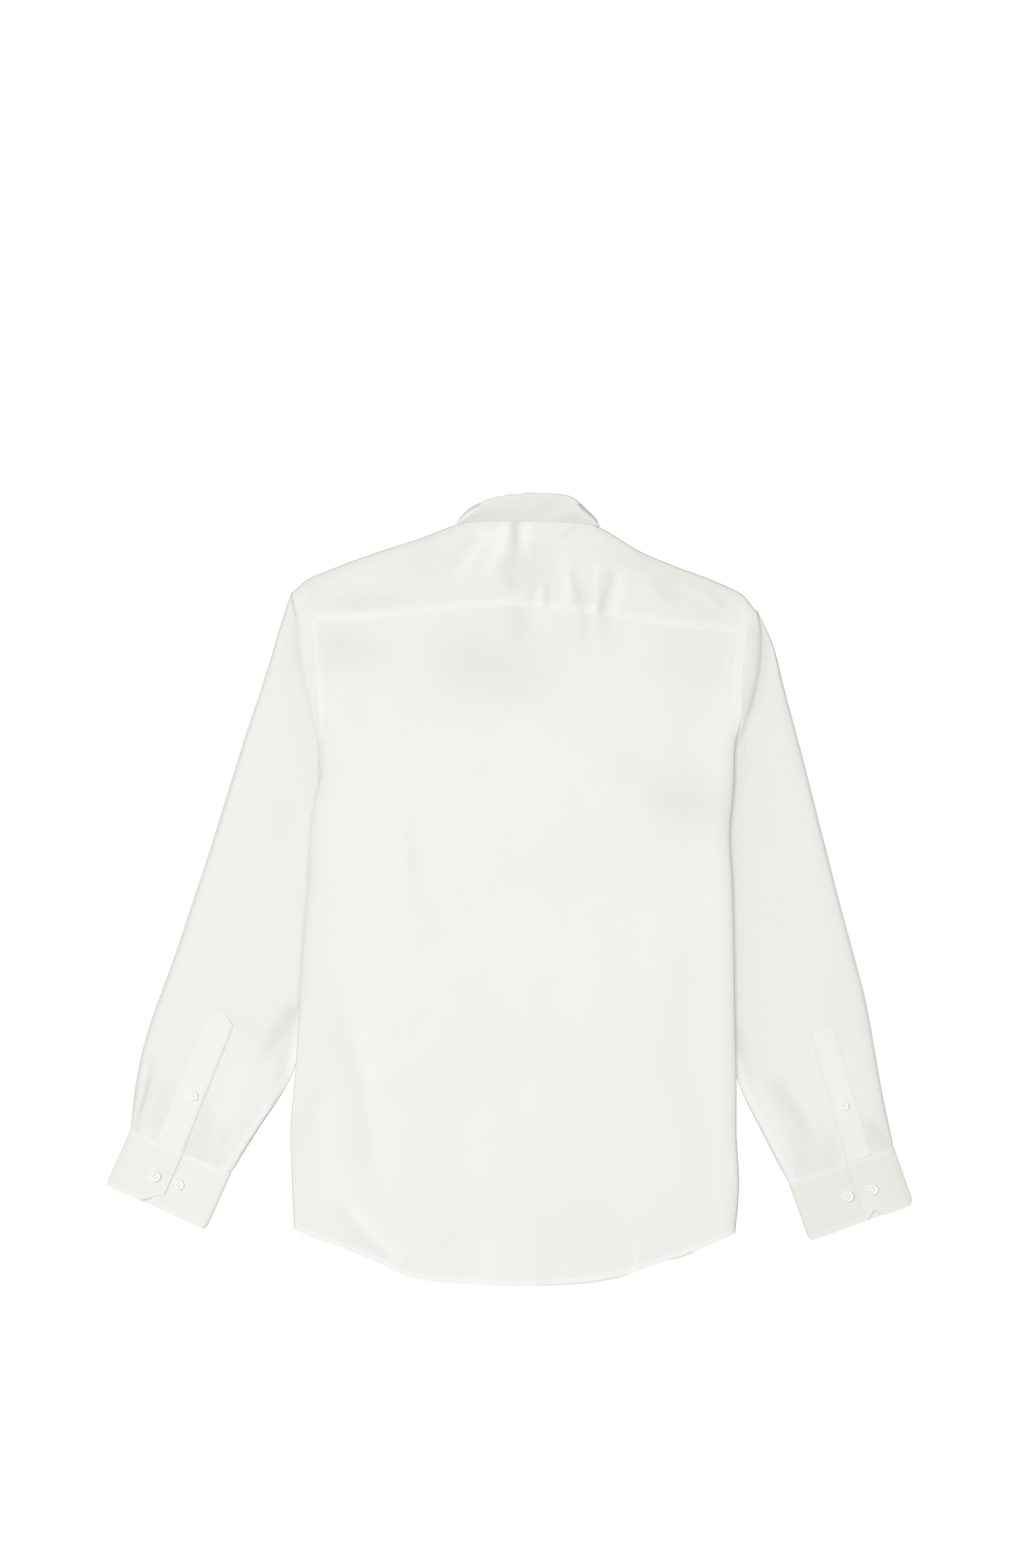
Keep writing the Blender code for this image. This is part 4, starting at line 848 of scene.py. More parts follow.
def make_yoke():
    """The plan's upper part, then an arc round each shoulder, then the strip on the hidden side."""
    length = column_lengths(upper_plan, ACROSS)[None]
    up = seam_rows(YOKE_STEPS, length, 30, 4.2)
    plan = upper_plan(ACROSS, up)
    share = np.broadcast_to(ACROSS, plan.shape[:2])
    x, y = plan[..., 0], plan[..., 1]
    rim = from_rim(share)
    from_seam = y - y[:1]
    shaped = 1.4 * folds(x, y, YOKE_FOLDS) + folds(x, y, CROSS_FOLDS)
    shaped = shaped + 0.10 * pucker(x, 2.2) * hump(from_seam, 2.0, 10.0)
    height = yoke_height(share, x, y, up, shaped)
    turning = 1.0 - smooth(7.4, 8.8, from_seam)
    height = height + 0.12 * pucker(y, 1.1) * hump(rim, FELL_SEWN, 0.02) + 0.16 * turning
    height = height - SEWN_DEPTH * (hump(from_seam, 1.6, 0.8) + hump(rim, FELL_SEWN, 0.0018))
    grid = np.dstack([plan, height])

    seam, shoulder = column_ends(upper_plan, ACROSS)
    inward = np.column_stack([shoulder_inward(ACROSS, seam, shoulder), np.zeros(len(ACROSS))])
    top = yoke_height(ACROSS, shoulder[:, 0], shoulder[:, 1], np.ones(len(ACROSS)), 0.0)
    foot = front_lift(ACROSS, shoulder[:, 0], shoulder[:, 1]) + WALL / 2
    down = np.array([0.0, 0.0, -1.0])
    curl = np.maximum(smooth(*NECK_CURL, np.abs(shoulder[:, 0] - COLLAR_CENTRE[0])), 0.01)[:, None]
    turn = np.maximum((top - foot)[:, None] / 2.0, 4 * NECK_STEP / (math.pi * curl))
    full = math.pi * curl
    reach = turn * np.sin(np.minimum(full, math.pi / 2)) + WALL / 2
    edge = np.column_stack([shoulder, top]) + inward * reach
    rows = [edge]
    for share_round in np.linspace(0.0, 1.0, 11)[1:]:
        angle = full * share_round
        rows.append(edge - inward * turn * np.sin(angle) + down * turn * (1 - np.cos(angle)))
    onward = down * np.sin(full) - inward * np.cos(full)
    for step in (0.25, 0.5, 0.75, 1.0):
        rows.append(rows[10] + onward * (2 * NECK_STEP + yoke_wrap(shoulder[:, :1])) * step)
    grid = np.concatenate([grid, np.stack(rows)])
    wrapped = (len(rows), len(ACROSS))
    plies = np.concatenate([1.0 + np.maximum(turning * 0.7, felled_band(rim) * 0.5), np.ones(wrapped)])
    # Painted light and shade: lighter on the folds' ridges and darker in their troughs and hollows, darker
    # overall and towards the shoulder fold, and darker still on the roll under the shoulder.
    tone = 0.6 * shaped + PAINTED_HOLLOW_SHADE * folds(x, y, YOKE_PAINTED_SHADES) * (1.0 - 0.6 * turning)
    tone = tone - 0.6 - 1.3 * np.exp(-(1.0 - up) * length / 5.0)
    tone = np.concatenate([tone, np.full(wrapped, -1.9)])
    return cloth_piece("yoke", grid, body_poplin, plies=plies, tone=tone)


yoke_grid = make_yoke()

# %% [markdown]
# ## The fronts and the buttonhole band
# The two fronts lie under the back, face down. The wearer's left front carries the buttonhole band and
# laps over the right one, so seen from below the band is outermost. They follow the same plan as the
# back, one layer down, and end at the yoke's strips and at the neckline. The front hem drops a little
# lower than the back hem in two places, where its edge peeks out.

# %% Front panels
def collar_lines(turns):
    """Roll, leaf edge and neck seam of the collar at each turn, left side negative."""
    side = np.where(turns < 0, -1.0, 1.0)
    size = np.abs(turns)
    lines = {}
    for line in ("roll", "edge", "seam"):
        x, y, z = (curve(COLLAR["turn"], COLLAR[line + "_" + axis])(size) for axis in "xyz")
        lines[line] = np.stack([side * x, y - COLLAR_CENTRE[1], z], axis=-1)
    lines["bulge"] = curve(COLLAR["turn"], COLLAR["bulge"])(size)
    return lines


COLLAR = table(
    "turn roll_x roll_y roll_z edge_x edge_y edge_z seam_x seam_y seam_z bulge",
    (0, 0, 402.2, 23, 0, 374.4, 9.5, 0, 380.9, 8.3, 1),
    (20, 18, 401.4, 22.6, 27, 374.3, 9.2, 26, 380.3, 8, 1),
    (40, 33.5, 399, 21, 50.5, 373.6, 8.6, 44, 379.2, 7.4, 1.4),
    (55, 45, 395, 18.6, 64.5, 372.2, 7.9, 54.5, 377.8, 7.2, 2),
    (62, 50, 391.6, 16.6, 70, 370.4, 7.3, 60, 377, 6.9, 2.6),
    (81, 50.5, 388.6, 9, 73.5, 367.5, 4.3, 61.6, 376, 4.2, 3.5),
    (87, 50.2, 385.5, 6.6, 75.5, 366, 2.6, 63.3, 372.8, 3.9, 2.8),
    (94, 50, 378.5, 5, 78.5, 364.8, 1.3, 63.9, 365.5, 3.6, 1.8),
    (108, 47, 369.5, 3.7, 84, 356, 0.7, 62.5, 353, 3.2, 0),
    (125, 41, 358.5, 3.2, 84, 335, 0.7, 57, 338, 3.1, 0),
    (145, 29.5, 345.5, 3.1, 78, 310, 0.7, 42, 317.5, 3.1, 0),
    (165, 13, 334.5, 3.1, 64, 281, 0.7, 19, 302.8, 3.1, 0),
    (178, 3.2, 330.5, 3.1, 54, 264, 0.7, 3.5, 299, 3.1, 0),
    (188, -9, 330.5, 3.1, 48, 258, 0.7, -10, 299.2, 3.1, 0),
)
COLLAR_TURN = -0.8
NECK_CLEAR = 1.2


def set_collar(points):
    """Turns collar points a little in plan and moves them to the neck."""
    angle = math.radians(COLLAR_TURN)
    x = points[..., 0] * math.cos(angle) - points[..., 1] * math.sin(angle)
    y = points[..., 0] * math.sin(angle) + points[..., 1] * math.cos(angle)
    return np.stack([x + COLLAR_CENTRE[0], y + COLLAR_CENTRE[1], points[..., 2]], axis=-1)


def front_plan(across, rows_below, rows_above):
    """The body's plan, its upper part ending at the yoke's strips and, between them, at the neckline."""
    up = seam_rows(HEM_STEPS, column_lengths(lower_plan, across)[None], rows_below, 0.0)
    lower = lower_plan(across, up)
    seam, shoulder = column_ends(upper_plan, across)
    deep = (EDGE_LIFT + LAYER) / 2 + WALL / 2 + 2 * NECK_STEP + 2 * GAP + yoke_wrap(shoulder[:, 0])
    top = shoulder + shoulder_inward(across, seam, shoulder) * deep[:, None]
    turns = np.concatenate([np.linspace(-100.0, -178.0, 40), np.linspace(178.0, 100.0, 40)])
    neck = set_collar(collar_lines(turns)["seam"])[:, :2]
    neck = neck + unit(neck - COLLAR_CENTRE) * NECK_CLEAR
    at_neck = (shoulder[:, 0] > neck[0, 0]) & (shoulder[:, 0] < neck[-1, 0])
    top[at_neck, 0] = shoulder[at_neck, 0]
    top[at_neck, 1] = np.interp(shoulder[at_neck, 0], neck[:, 0], neck[:, 1])
    rise = np.linspace(0.0, 1.0, rows_above + 1)[1:, None, None]
    return np.concatenate([lower, seam + (top - seam) * rise])


HEM_PEEKS = (
    # how far the front hem shows below the back's, and over which X it starts and ends
    (2.4, (22.0, 50.0), (130.0, 105.0)), (1.9, (160.0, 172.0), (194.0, 184.0)),
)


def make_front(node, across, laps):
    """One front at the height of the front lift, with the hem turned up and the hem's drop added."""
    plan = front_plan(across, 130, 26)
    share = np.broadcast_to(across, plan.shape[:2])
    x, y = plan[..., 0], plan[..., 1]
    height = front_lift(share, x, y) + WALL / 2
    if laps:
        height = height + lap_lift(share)
    from_hem = y - y[:1]
    peek = sum(fall * smooth(*rise, x) * smooth(*end, x) for fall, rise, end in HEM_PEEKS)
    grid = np.dstack([plan, height])
    grid[..., 1] -= peek * hump(from_hem, 0.0, 25.0)
    drop = smooth(ARMPIT[1], ARMPIT[0], y)
    side, step = (0, 1.0) if across[0] == 0 else (-1, -1.0)
    grid[:, side, 0] += step * (WALL + GAP) * drop[:, side]
    plies = 1.0 + (1.0 - smooth(*HEM_END, from_hem))
    return cloth_piece(node, grid, body_poplin, plies=plies)


side_columns = np.array([0.0, 0.012, 0.018, 0.026])
left_shares = np.concatenate([side_columns, np.linspace(0.036, 0.5 - BAND_SHARE - 0.0008, 62)])
right_shares = np.concatenate([np.linspace(0.5 - BAND_SHARE + 0.0045, 0.964, 70), 1.0 - side_columns[::-1]])
front_grids = {"left": make_front("front_left", left_shares, laps=False),
               "right": make_front("front_right", right_shares, laps=True)}

# %% [markdown]
# The band is a strip about 32 mm wide down the centre front, folded to the outside and stitched 6 mm
# from both its edges, which leaves the two rows of fine puckers that a buttonhole band always has.

# %% Buttonhole band
BAND_STITCH = 6.0


def make_band():
    """The plan's middle strip at the front lift, its folded edges three plies thick."""
    half = np.array([0.2, 0.4, 0.58, 0.66, 0.75, 0.9, 0.97, 1.0])
    across = 0.5 + BAND_SHARE * np.concatenate([-half[::-1], [0.0], half])
    plan = front_plan(across, 180, 30)
    share = np.broadcast_to(across, plan.shape[:2])
    x, y = plan[..., 0], plan[..., 1]
    middle = plan[:, len(across) // 2, 0][:, None]
    height = front_lift(share, x, y) + WALL / 2
    aside = np.abs(x - middle)
    rim = BAND_SHARE * 445.0 - BAND_STITCH
    height = height + 0.14 * pucker(y, 0.6) * hump(aside, rim, 2.5)
    plies = 1.0 + smooth(rim - 0.6, rim + 0.6, aside) + (1.0 - smooth(*HEM_END, y - y[:1]))
    grid = np.dstack([plan, height])
    return cloth_piece("placket_band", grid, body_poplin, plies=np.minimum(plies, 2.0))


band_grid = make_band()

# %% [markdown]
# ## The collar
# The stand goes round the neck and its ends lap at the centre front. The leaf is sewn to its top, rolls
# over and falls outside it; lying flat, it arches at the back neck and its two points lie face down at
# the front. Both are surfaces between lines given by the turn round the neck: the roll line, the leaf's
# free edge and the neck seam. A bulge keeps the leaf's fall rounded, as an interlining does.

# %% Collar stand and leaf
LAID_COLLAR = table(
    "x y",
    (92.4, 371), (91.2, 373.4), (87.8, 378.1), (83.8, 382.5), (79.8, 386.3), (73.8, 392), (67.8, 396.5),
    (61.8, 399.3), (54, 400.6), (44, 401), (30, 400.8), (10, 399.6), (-7, 398.7), (-20, 395.9),
    (-30, 392.6), (-38, 388.8), (-42, 386), (-46, 382.5), (-50, 378.1), (-53.4, 373.3),
    (-54.8, 371),
)
LEAF_TURNS = np.array([0, 11, 22, 33, 44, 54, 62, 69, 75, 81, 87, 94, 103, 114, 126, 139, 152, 165, 177.0])
STAND_SKIPS = (69, 75)     # turns that the stand leaves out, where the leaf bends sharply
STAND_END = 187.0          # the turn at which the stand ends, past the centre front
STAND_LAP = 1.8            # the rise of its upper end
ROLL_ROUND = 1.3           # radius of the roll at the leaf's fold


def laid_outline(leaf, *grids):
    """Scales each point's distance from the centre by the laid outline's distance over the leaf's own.

    Both distances are read in the point's direction. The scale fades out below the neck, where the
    collar turns under.
    """
    centre = np.array([COLLAR_CENTRE[0], 370.0])
    neck = (350.0, 370.0)

    def polar(points):
        away = points[..., :2] - centre
        return np.arctan2(away[..., 1], away[..., 0]), np.linalg.norm(away, axis=-1)

    ways = np.radians(np.linspace(2.0, 178.0, 89))
    wanted_way, wanted = polar(np.column_stack([LAID_COLLAR["x"], LAID_COLLAR["y"]]))
    way, reach = polar(leaf)
    own = np.array([reach[np.abs(way - direction) < math.radians(1.6)].max() for direction in ways])
    scale = np.interp(ways, wanted_way, wanted) / (own + FUSED / 2)
    scale = np.convolve(np.pad(scale, 1, mode="edge"), [0.25, 0.5, 0.25], mode="valid")
    fitted = []
    for grid in (leaf, *grids):
        way, _ = polar(grid)
        own_scale = np.interp(np.clip(way, ways[0], ways[-1]), ways, scale)
        share = 1.0 + (own_scale - 1.0) * smooth(*neck, grid[..., 1])
        plan = centre + (grid[..., :2] - centre) * share[..., None]
        fitted.append(np.dstack([plan, grid[..., 2]]))
    return fitted


def make_collar():
    """Leaf rows: up from the stand, round the roll's half circle, then the fall to the free edge."""
    turns = np.concatenate([[-STAND_END], -LEAF_TURNS[:0:-1], LEAF_TURNS, [STAND_END]])
    unfolded = ~np.isin(np.abs(turns), STAND_SKIPS)
    lines = collar_lines(turns)
    roll, edge, seam = lines["roll"], lines["edge"], lines["seam"]
    along = unit(np.gradient(roll, axis=0))
    down = unit(seam - roll)
    down = unit(down - (down * along).sum(axis=1, keepdims=True) * along)
    lap = STAND_LAP * smooth(140.0, 166.0, turns)
    top = roll + down * (2.0 * ROLL_ROUND + STIFF / 2)
    stand = np.stack([seam + (top - seam) * share for share in (0.0, 0.34, 0.67, 1.0)], axis=1)
    stand[..., 2] += lap[:, None]
    stand = set_collar(stand[unfolded])
    stand = finer(stand, np.linspace(0.0, len(stand) - 1.0, 240), np.linspace(0.0, 3.0, 13))

    out = -np.cross(along, down)
    start = roll + out * 2 * ROLL_ROUND
    fall = edge - start
    away = -unit(np.cross(along, unit(fall)))
    rows = [roll + down * 0.8 * ROLL_ROUND]
    for angle in np.radians([20.0, 55.0, 90.0, 125.0, 160.0]):
        rows.append(roll + out * ROLL_ROUND * (1 - np.cos(angle)) - down * ROLL_ROUND * np.sin(angle))
    under = smooth(84.0, 104.0, np.abs(turns))
    for share in (0.04, 0.12, 0.24, 0.38, 0.52, 0.66, 0.8, 0.9, 1.0):
        row = start + fall * share + away * (lines["bulge"] * math.sin(math.pi * share))[:, None]
        row[:, 2] += under * fall[:, 2] * ((1 - (1 - share) ** 3) - share)
        rows.append(row)
    leaf = np.stack(rows, axis=1)[1:-1]
    leaf[..., 2] = np.maximum(leaf[..., 2], STIFF / 2)
    count = leaf.shape[1]
    leaf = finer(set_collar(leaf), np.linspace(0.0, len(leaf) - 1.0, 260), np.linspace(0.0, count - 1.0, 44))
    leaf[..., 2] = np.maximum(leaf[..., 2], FUSED / 2 + 0.1)
    leaf, stand = laid_outline(leaf, stand)
    return stand, leaf


stand_grid, leaf_grid = make_collar()
# Painted shade: the stand and the leaf are painted darker, the leaf less so at its sides, where it turns down
# into real shade.
cloth_piece("collar_stand", stand_grid, fused_poplin, ply=FUSED, tone=-1.2)
from_middle = np.abs(leaf_grid[..., 0] - COLLAR_CENTRE[0])
leaf_painted_shade = 1.3 * smooth(44.0, 64.0, from_middle) - 1.5
cloth_piece("collar_leaf", leaf_grid, fused_poplin, ply=FUSED, tone=leaf_painted_shade)

# %% [markdown]
# ## The sleeves
# A sleeve lies as a flat tube. Its upper layer has air under it, so it rounds down at its outer edge, and
# beside the body it stays low, because the body's edge presses on it. Its rings run from the armhole to
# the cuff. The coarse rings come from the seam and edge tables, are read finely, and the folds are then
# added to the upper layer only. Towards the cuff the upper layer settles to the cuff's own height, since
# it is gathered into it with two pleats.

# %% Sleeve tubes
CUFFS = {
    "left": {"outer": (-384.6, -243.9), "inner": (-282.9, -289.6), "over_end": 58.0, "under_end": 37.0,
             "buttons": ((42.3, 33.6), (67.7, 31.9))},
    "right": {"outer": (391.3, -261.6), "inner": (285.0, -299.0), "over_end": 50.5, "under_end": 30.0,
              "buttons": ((34.4, 34.1), (60.1, 32.6))},
}
SLEEVE_FOLDS = {
    "left": [
        (1, 3.4, 0, 0.4, 0, -369, -160, -370.5, -190, -375.5, -215, -383, -247),
        (-3.2, 3.4, 0.2, 0.5, 0, -361, -156, -360.5, -184, -367.5, -214, -380, -246),
        (-1.3, 8, 0, 0.5, 0.1, -348, -186, -353, -214, -362, -244),
        (-2.4, 8, 0.25, 0.1, 0.5, -214, -118, -226, -138, -240, -160, -252, -186),
        (1, 12, 0, 0.4, 0.3, -262, -150, -276, -205, -296, -262),
        (-1.2, 7, 0, 0, 0.5, -318, -268, -308, -240, -302, -205),
        (0.7, 7, 0, 0, 0.5, -306, -275, -294, -245, -288, -215),
        (-0.7, 5, 0, 0, 0.5, -296, -280, -286, -252, -276, -226),
        (0.5, 18, 0, 0.4, 0.4, -262, 190, -280, 120, -290, 40),
        (-0.7, 9, 0, 0.3, 0.5, -236, 262, -246, 200, -262, 130),
        (-0.5, 12, 0, 0.4, 0.4, -230, 110, -228, 70, -230, 20),
        (-0.8, 6, 0, 0, 0.5, -344, -253, -340, -232, -338, -205),
    ],
    "right": [
        (-1.7, 6, 0.3, 0.2, 0.5, 232, -136, 240, -162, 251, -196, 258, -214),
        (-2.1, 6.5, 0.3, 0.4, 0.3, 267, -180, 285.8, -214.6, 300.4, -237.3, 313, -262),
        (0.9, 9, 0, 0.4, 0.1, 250, -190, 272, -235, 294, -282),
        (0.8, 8, 0, 0.4, 0.3, 284, -180, 304, -222, 322, -262),
        (-1.5, 7, 0.2, 0.5, 0, 364, -226, 373, -244, 388, -263),
        (-0.8, 5, 0, 0, 0.5, 334, -276, 328, -258, 326, -240),
        (-0.6, 16, 0, 0.4, 0.4, 252, 150, 256, 85, 262, 20),
        (0.5, 20, 0, 0.4, 0.4, 286, 120, 296, 40, 306, -60),
        (-0.6, 11, 0, 0.4, 0.4, 330, -60, 340, -120, 346, -180),
    ],
}
# painted shade along the sleeves' hollows, as crease lines
SLEEVE_PAINTED_SHADES = {
    "left": [
        (-0.35, 11, 0, 0, 0.5, -352, -262, -346, -236, -342, -206),
        (-0.35, 12, 0, 0, 0.5, -312, -276, -302, -250, -296, -222),
        (-0.3, 8, 0, 0.1, 0.5, -216, -120, -232, -148, -250, -180),
        (-0.12, 8, 0, 0.3, 0.4, -222, 262, -216, 236, -212, 212),
    ],
    "right": [
        (-0.3, 10, 0, 0.4, 0.2, 268, -182, 288, -218, 312, -262),
        (-0.3, 16, 0, 0, 0.5, 316, -284, 300, -262, 288, -240),
        (-0.45, 12, 0, 0, 0.5, 376, -268, 372, -246, 366, -226),
        (-0.55, 10, 0, 0, 0.2, 250, 262, 252, 232, 246, 200, 238, 168),
    ],
}
# painted shade: how much darker a sleeve is painted at its outer edge and beside its fold, each with its
# reach
SLEEVE_EDGE_PAINTED_SHADES = {"left": (1.6, 4.0, 0.5, 4.0), "right": (1.0, 5.0, 2.2, 9.0)}
# where it rises beside the body, and for the left one below the elbow
BESIDE_BODY = {"left": (-3.5, 3.5), "right": (-7.0, 22.0)}
BESIDE_BODY_LOW = (4.0, 24.0)
# how far beyond the fold the next two rings lie: at the armhole's ends, and along its middle
FALL_STEPS = ((1.2, 3.2), (2.4, 6.4))
SLEEVE_HIGH, SLEEVE_PUFF = 1.9, 3.0     # the upper layer's rise at its outer edge, and what air adds
SEAM_TURNING = 2.4                      # how far the underarm end is turned in below the body
EVENING_ROUNDS = 40
ARMHOLE_FALL = {
    # how far the armhole sets the height at its first five rings, and the rise over the body's edge there
    "left": ((1.0, 1.0, 1.0, 0.8, 0.1), (-0.5, -0.5, 0.5, 1.0, 1.2)),
    "right": ((1.0, 1.0, 1.0, 0.8, 0.3), (-0.5, 0.1, -1.3, -2.0, -2.0)),
}


def armhole_lines(side, rim):
    """The sleeve's first four rings in plan: the armhole seam, the fold beside it, and two on the slope."""
    sign = SIGN[side]
    edge = SLEEVE_EDGES[side]
    under = np.column_stack([edge["underarm"]["x"], edge["underarm"]["y"]])
    clear = GAP + 0.4 * (np.abs(rim[:, 1] - ARMPIT[1]) < 20.0)
    clear[0] += 0.5
    seam = np.concatenate([rim + np.outer(clear, [sign, 0.0]), under])
    width = curve(edge["fold"]["y"], edge["fold"]["width"])(seam[:, 1])[:, None]
    edge_lines = [path(**edge[name]) for name in ("outer", "inner")]
    along_outer, along_inner = (unit(line(0.02) - line(0.0)) for line in edge_lines)
    at_top, at_under = np.zeros((2, len(seam), 1))
    at_top[:2, 0] = (1.0, 0.4)
    at_under[-3:, 0] = (0.3, 0.7, 1.0)
    straight = np.array([sign, 0.0]) * (1 - at_top - at_under)
    out = unit(straight + along_outer * at_top + along_inner * at_under)
    middle = smooth(118.0, 168.0, seam[:, 1:]) * smooth(300.0, 262.0, seam[:, 1:])
    near, far = (low + (high - low) * middle for low, high in FALL_STEPS)
    return [seam, seam + out * width, seam + out * (width + near), seam + out * (width + far)]


def ring_shares(spread, tuck, crossing, even):
    """Column places along a ring: the open columns end where the body's side crosses it."""
    before = spread[: tuck + 1] / spread[tuck]
    after = (spread[tuck:] - spread[tuck]) / (1 - spread[tuck])
    before = before + (np.linspace(0.0, 1.0, len(before)) - before) * even
    after = after + (np.linspace(0.0, 1.0, len(after)) - after) * even
    return np.concatenate([before * crossing, (crossing + (1 - crossing) * after)[1:]])


def sleeve_plan(side, rim, body_side):
    """Coarse rings in plan, from the armhole seam to the cuff."""
    sign = SIGN[side]
    edge = SLEEVE_EDGES[side]
    outer, inner = path(**edge["outer"]), path(**edge["inner"])
    plans = armhole_lines(side, rim)
    foot = plans[-1]
    tuck = len(foot) - SLEEVE_TUCKED
    spread = run_length(foot)
    spread /= spread[-1]
    bend = foot - (foot[:1] + (foot[-1:] - foot[:1]) * spread[:, None])
    fine = np.linspace(0.0, 1.0, 400)
    for step in np.linspace(0.0, 1.0, SLEEVE_RINGS + 1)[1:]:
        settle = smooth(0.0, 0.2, step)
        start = outer(step) + (foot[0] - outer(0.0)) * (1 - settle)
        end = inner(step) + (foot[-1] - inner(0.0)) * (1 - settle)
        fade = 1 - smooth(0.0, 0.3, step)
        bent = np.column_stack([np.interp(fine, spread, bend[:, axis]) for axis in (0, 1)])
        ring = start + (end - start) * fine[:, None] + bent * fade
        outside = sign * (ring[:, 0] - np.interp(ring[:, 1], body_side[:, 1], body_side[:, 0]))
        beyond = outside > SLEEVE_CLEAR
        open_part = len(fine) if beyond.all() else beyond.argmin()
        crossing = min(open_part / len(fine), 0.88)
        share = ring_shares(spread, tuck, crossing, settle)
        plans.append(np.column_stack([np.interp(share, fine, ring[:, axis]) for axis in (0, 1)]))
    return np.stack(plans), tuck


INTO_CUFF = 3.0     # the sleeve's end lies this deep between the cuff's plies


def cuff_frame(size):
    """Origin and the across and down directions of a cuff."""
    origin = np.array(size["outer"])
    run = np.array(size["inner"]) - origin
    width = np.linalg.norm(run)
    across = run / width
    down = np.array([across[1], -across[0]]) * (1.0 if across[0] > 0 else -1.0)
    return origin, across, down, width


def cuff_top(side, along):
    """Height of the cuff's uppermost ply at a distance along its top edge from the outer corner."""
    *_, width = cuff_frame(CUFFS[side])
    over = CUFFS[side]["over_end"]
    level = STIFF + GAP
    outer = [(0.9, 1.6), (3.0, 1.7), (8.0, 2.0), (over * 0.4, 2.24), (over - 20, 2.1), (over - 8, 1.88)]
    lap = [(over, 1.72), (over + 9, 1.04), (over + 22, 1.6)]
    inner = [(width - 14, 1.9), (width - 4, 1.85), (width - 1, 1.4)]
    at, up = zip(*outer, *lap, *inner)
    return STIFF / 2 + level * np.interp(along, at, up)


def make_sleeve(side):
    """The flat tube: fine plan rings, an upper height with the folds, and a half circle at both edges."""
    sign = SIGN[side]
    column = 0 if side == "left" else -1
    rows = np.concatenate([np.linspace(0.0, ARMPIT_SHARE, 14), np.linspace(ARMPIT_SHARE, 1.0, 5)[1:]])
    ends = np.array([0.0, 1.0])
    lower = lower_plan(ends, rows[:, None] + np.zeros((len(rows), 2)))[:, column]
    rise = np.linspace(0.0, 1.0, 7)
    upper = upper_plan(ends, rise[:, None] + np.zeros((7, 2)))[:, column]
    rim = np.concatenate([upper[[6, 3]], lower[13:][::-1]])
    body_side = np.concatenate([lower, upper[1:]])
    coarse, tuck = sleeve_plan(side, rim, body_side)

    ring_at = np.concatenate([np.linspace(0.0, 3.0, 13), 3.0 + np.linspace(0.0, SLEEVE_RINGS, 176)[1:]])
    column_at = np.concatenate([
        np.linspace(0.0, 1.2, 13), np.linspace(1.38, 4.98, 21), np.linspace(5.1, 6.6, 16),
        np.linspace(6.9, coarse.shape[1] - 1.0, 8),
    ])
    plans = even_rings(finer(coarse, ring_at, column_at))
    down_sleeve = (ring_at / ring_at[-1])[:, None]
    seam_y = np.interp(column_at, np.arange(coarse.shape[1]), coarse[0, :, 1])
    tuck_y = coarse[0, tuck, 1]
    x, y = plans[..., 0], plans[..., 1]
    outside = sign * (x - np.interp(y, body_side[:, 1], body_side[:, 0]))
    from_outer = np.linalg.norm(plans - plans[:, :1], axis=2)
    height = sleeve_height(side, x, y, column_at / column_at[-1], from_outer, outside)
    on_seam = smooth(tuck_y + 1.0, tuck_y + 26.0, seam_y)
    weights, rises = ARMHOLE_FALL[side]
    part = np.interp(ring_at, np.arange(5.0), weights)
    target = WALL / 2 + EDGE_LIFT + LAYER + np.interp(ring_at, np.arange(5.0), rises)
    height = height + (target[:, None] - height) * part[:, None] * on_seam

    origin, across, down, width = cuff_frame(CUFFS[side])
    local = plans - origin
    along, above = local @ across, -(local @ down)
    into_cuff = smooth(26.0, 0.0, above) * smooth(0.75, 0.9, down_sleeve)
    height = height + (cuff_top(side, along) - height) * into_cuff
    gathers = 0.22 * pucker(along, 0.9) * smooth(20.0, 1.0, above) * smooth(0.85, 0.95, down_sleeve)
    height = height + gathers * np.sin(math.pi * column_at / column_at[-1]) * (1 - smooth(3.0, 0.0, above))
    turned_in = smooth(tuck_y - 16.0, tuck_y - 4.0, seam_y)
    plans[..., 0] -= sign * SEAM_TURNING * smooth(0.6, 0.0, ring_at)[:, None] * turned_in
    sunk = smooth(0.988, 1.0, down_sleeve)[..., None]
    towards = origin + across * width / 2 - plans
    plans = plans + sunk * (down * INTO_CUFF + across * ((towards @ across) * 2.8 / width)[..., None])
    grid = tube_loops(plans, height, WALL / 2)

    count = plans.shape[1]
    plies = np.ones(grid.shape[:2])
    from_inner = np.linalg.norm(plans - plans[:, -1:], axis=2)
    plies[:, :count] += 0.6 * ((1.0 - smooth(8.0, 9.6, from_inner)) * smooth(0.55, 0.62, down_sleeve))
    # painted shade: the upper layer gets the sleeve's painted light and shade, the rest the edge's darkening
    tone = np.full(grid.shape[:2], -SLEEVE_EDGE_PAINTED_SHADES[side][0])
    tone[:, :count] = sleeve_painted_shade(side, x, y, from_outer, outside)
    return cloth_piece("sleeve_" + side, grid, sleeve_poplin, plies=plies, closed=True, tone=tone)[:, :count]


def even_rings(plans):
    """Each ring drawn a quarter of the way to both its neighbours, many times, beyond the armhole's fall."""
    for _ in range(EVENING_ROUNDS):
        evened = 0.5 * plans[1:-1] + 0.25 * (plans[:-2] + plans[2:])
        part = smooth(13.0, 22.0, np.arange(1, len(plans) - 1))[:, None, None]
        plans[1:-1] += (evened - plans[1:-1]) * part
    return plans


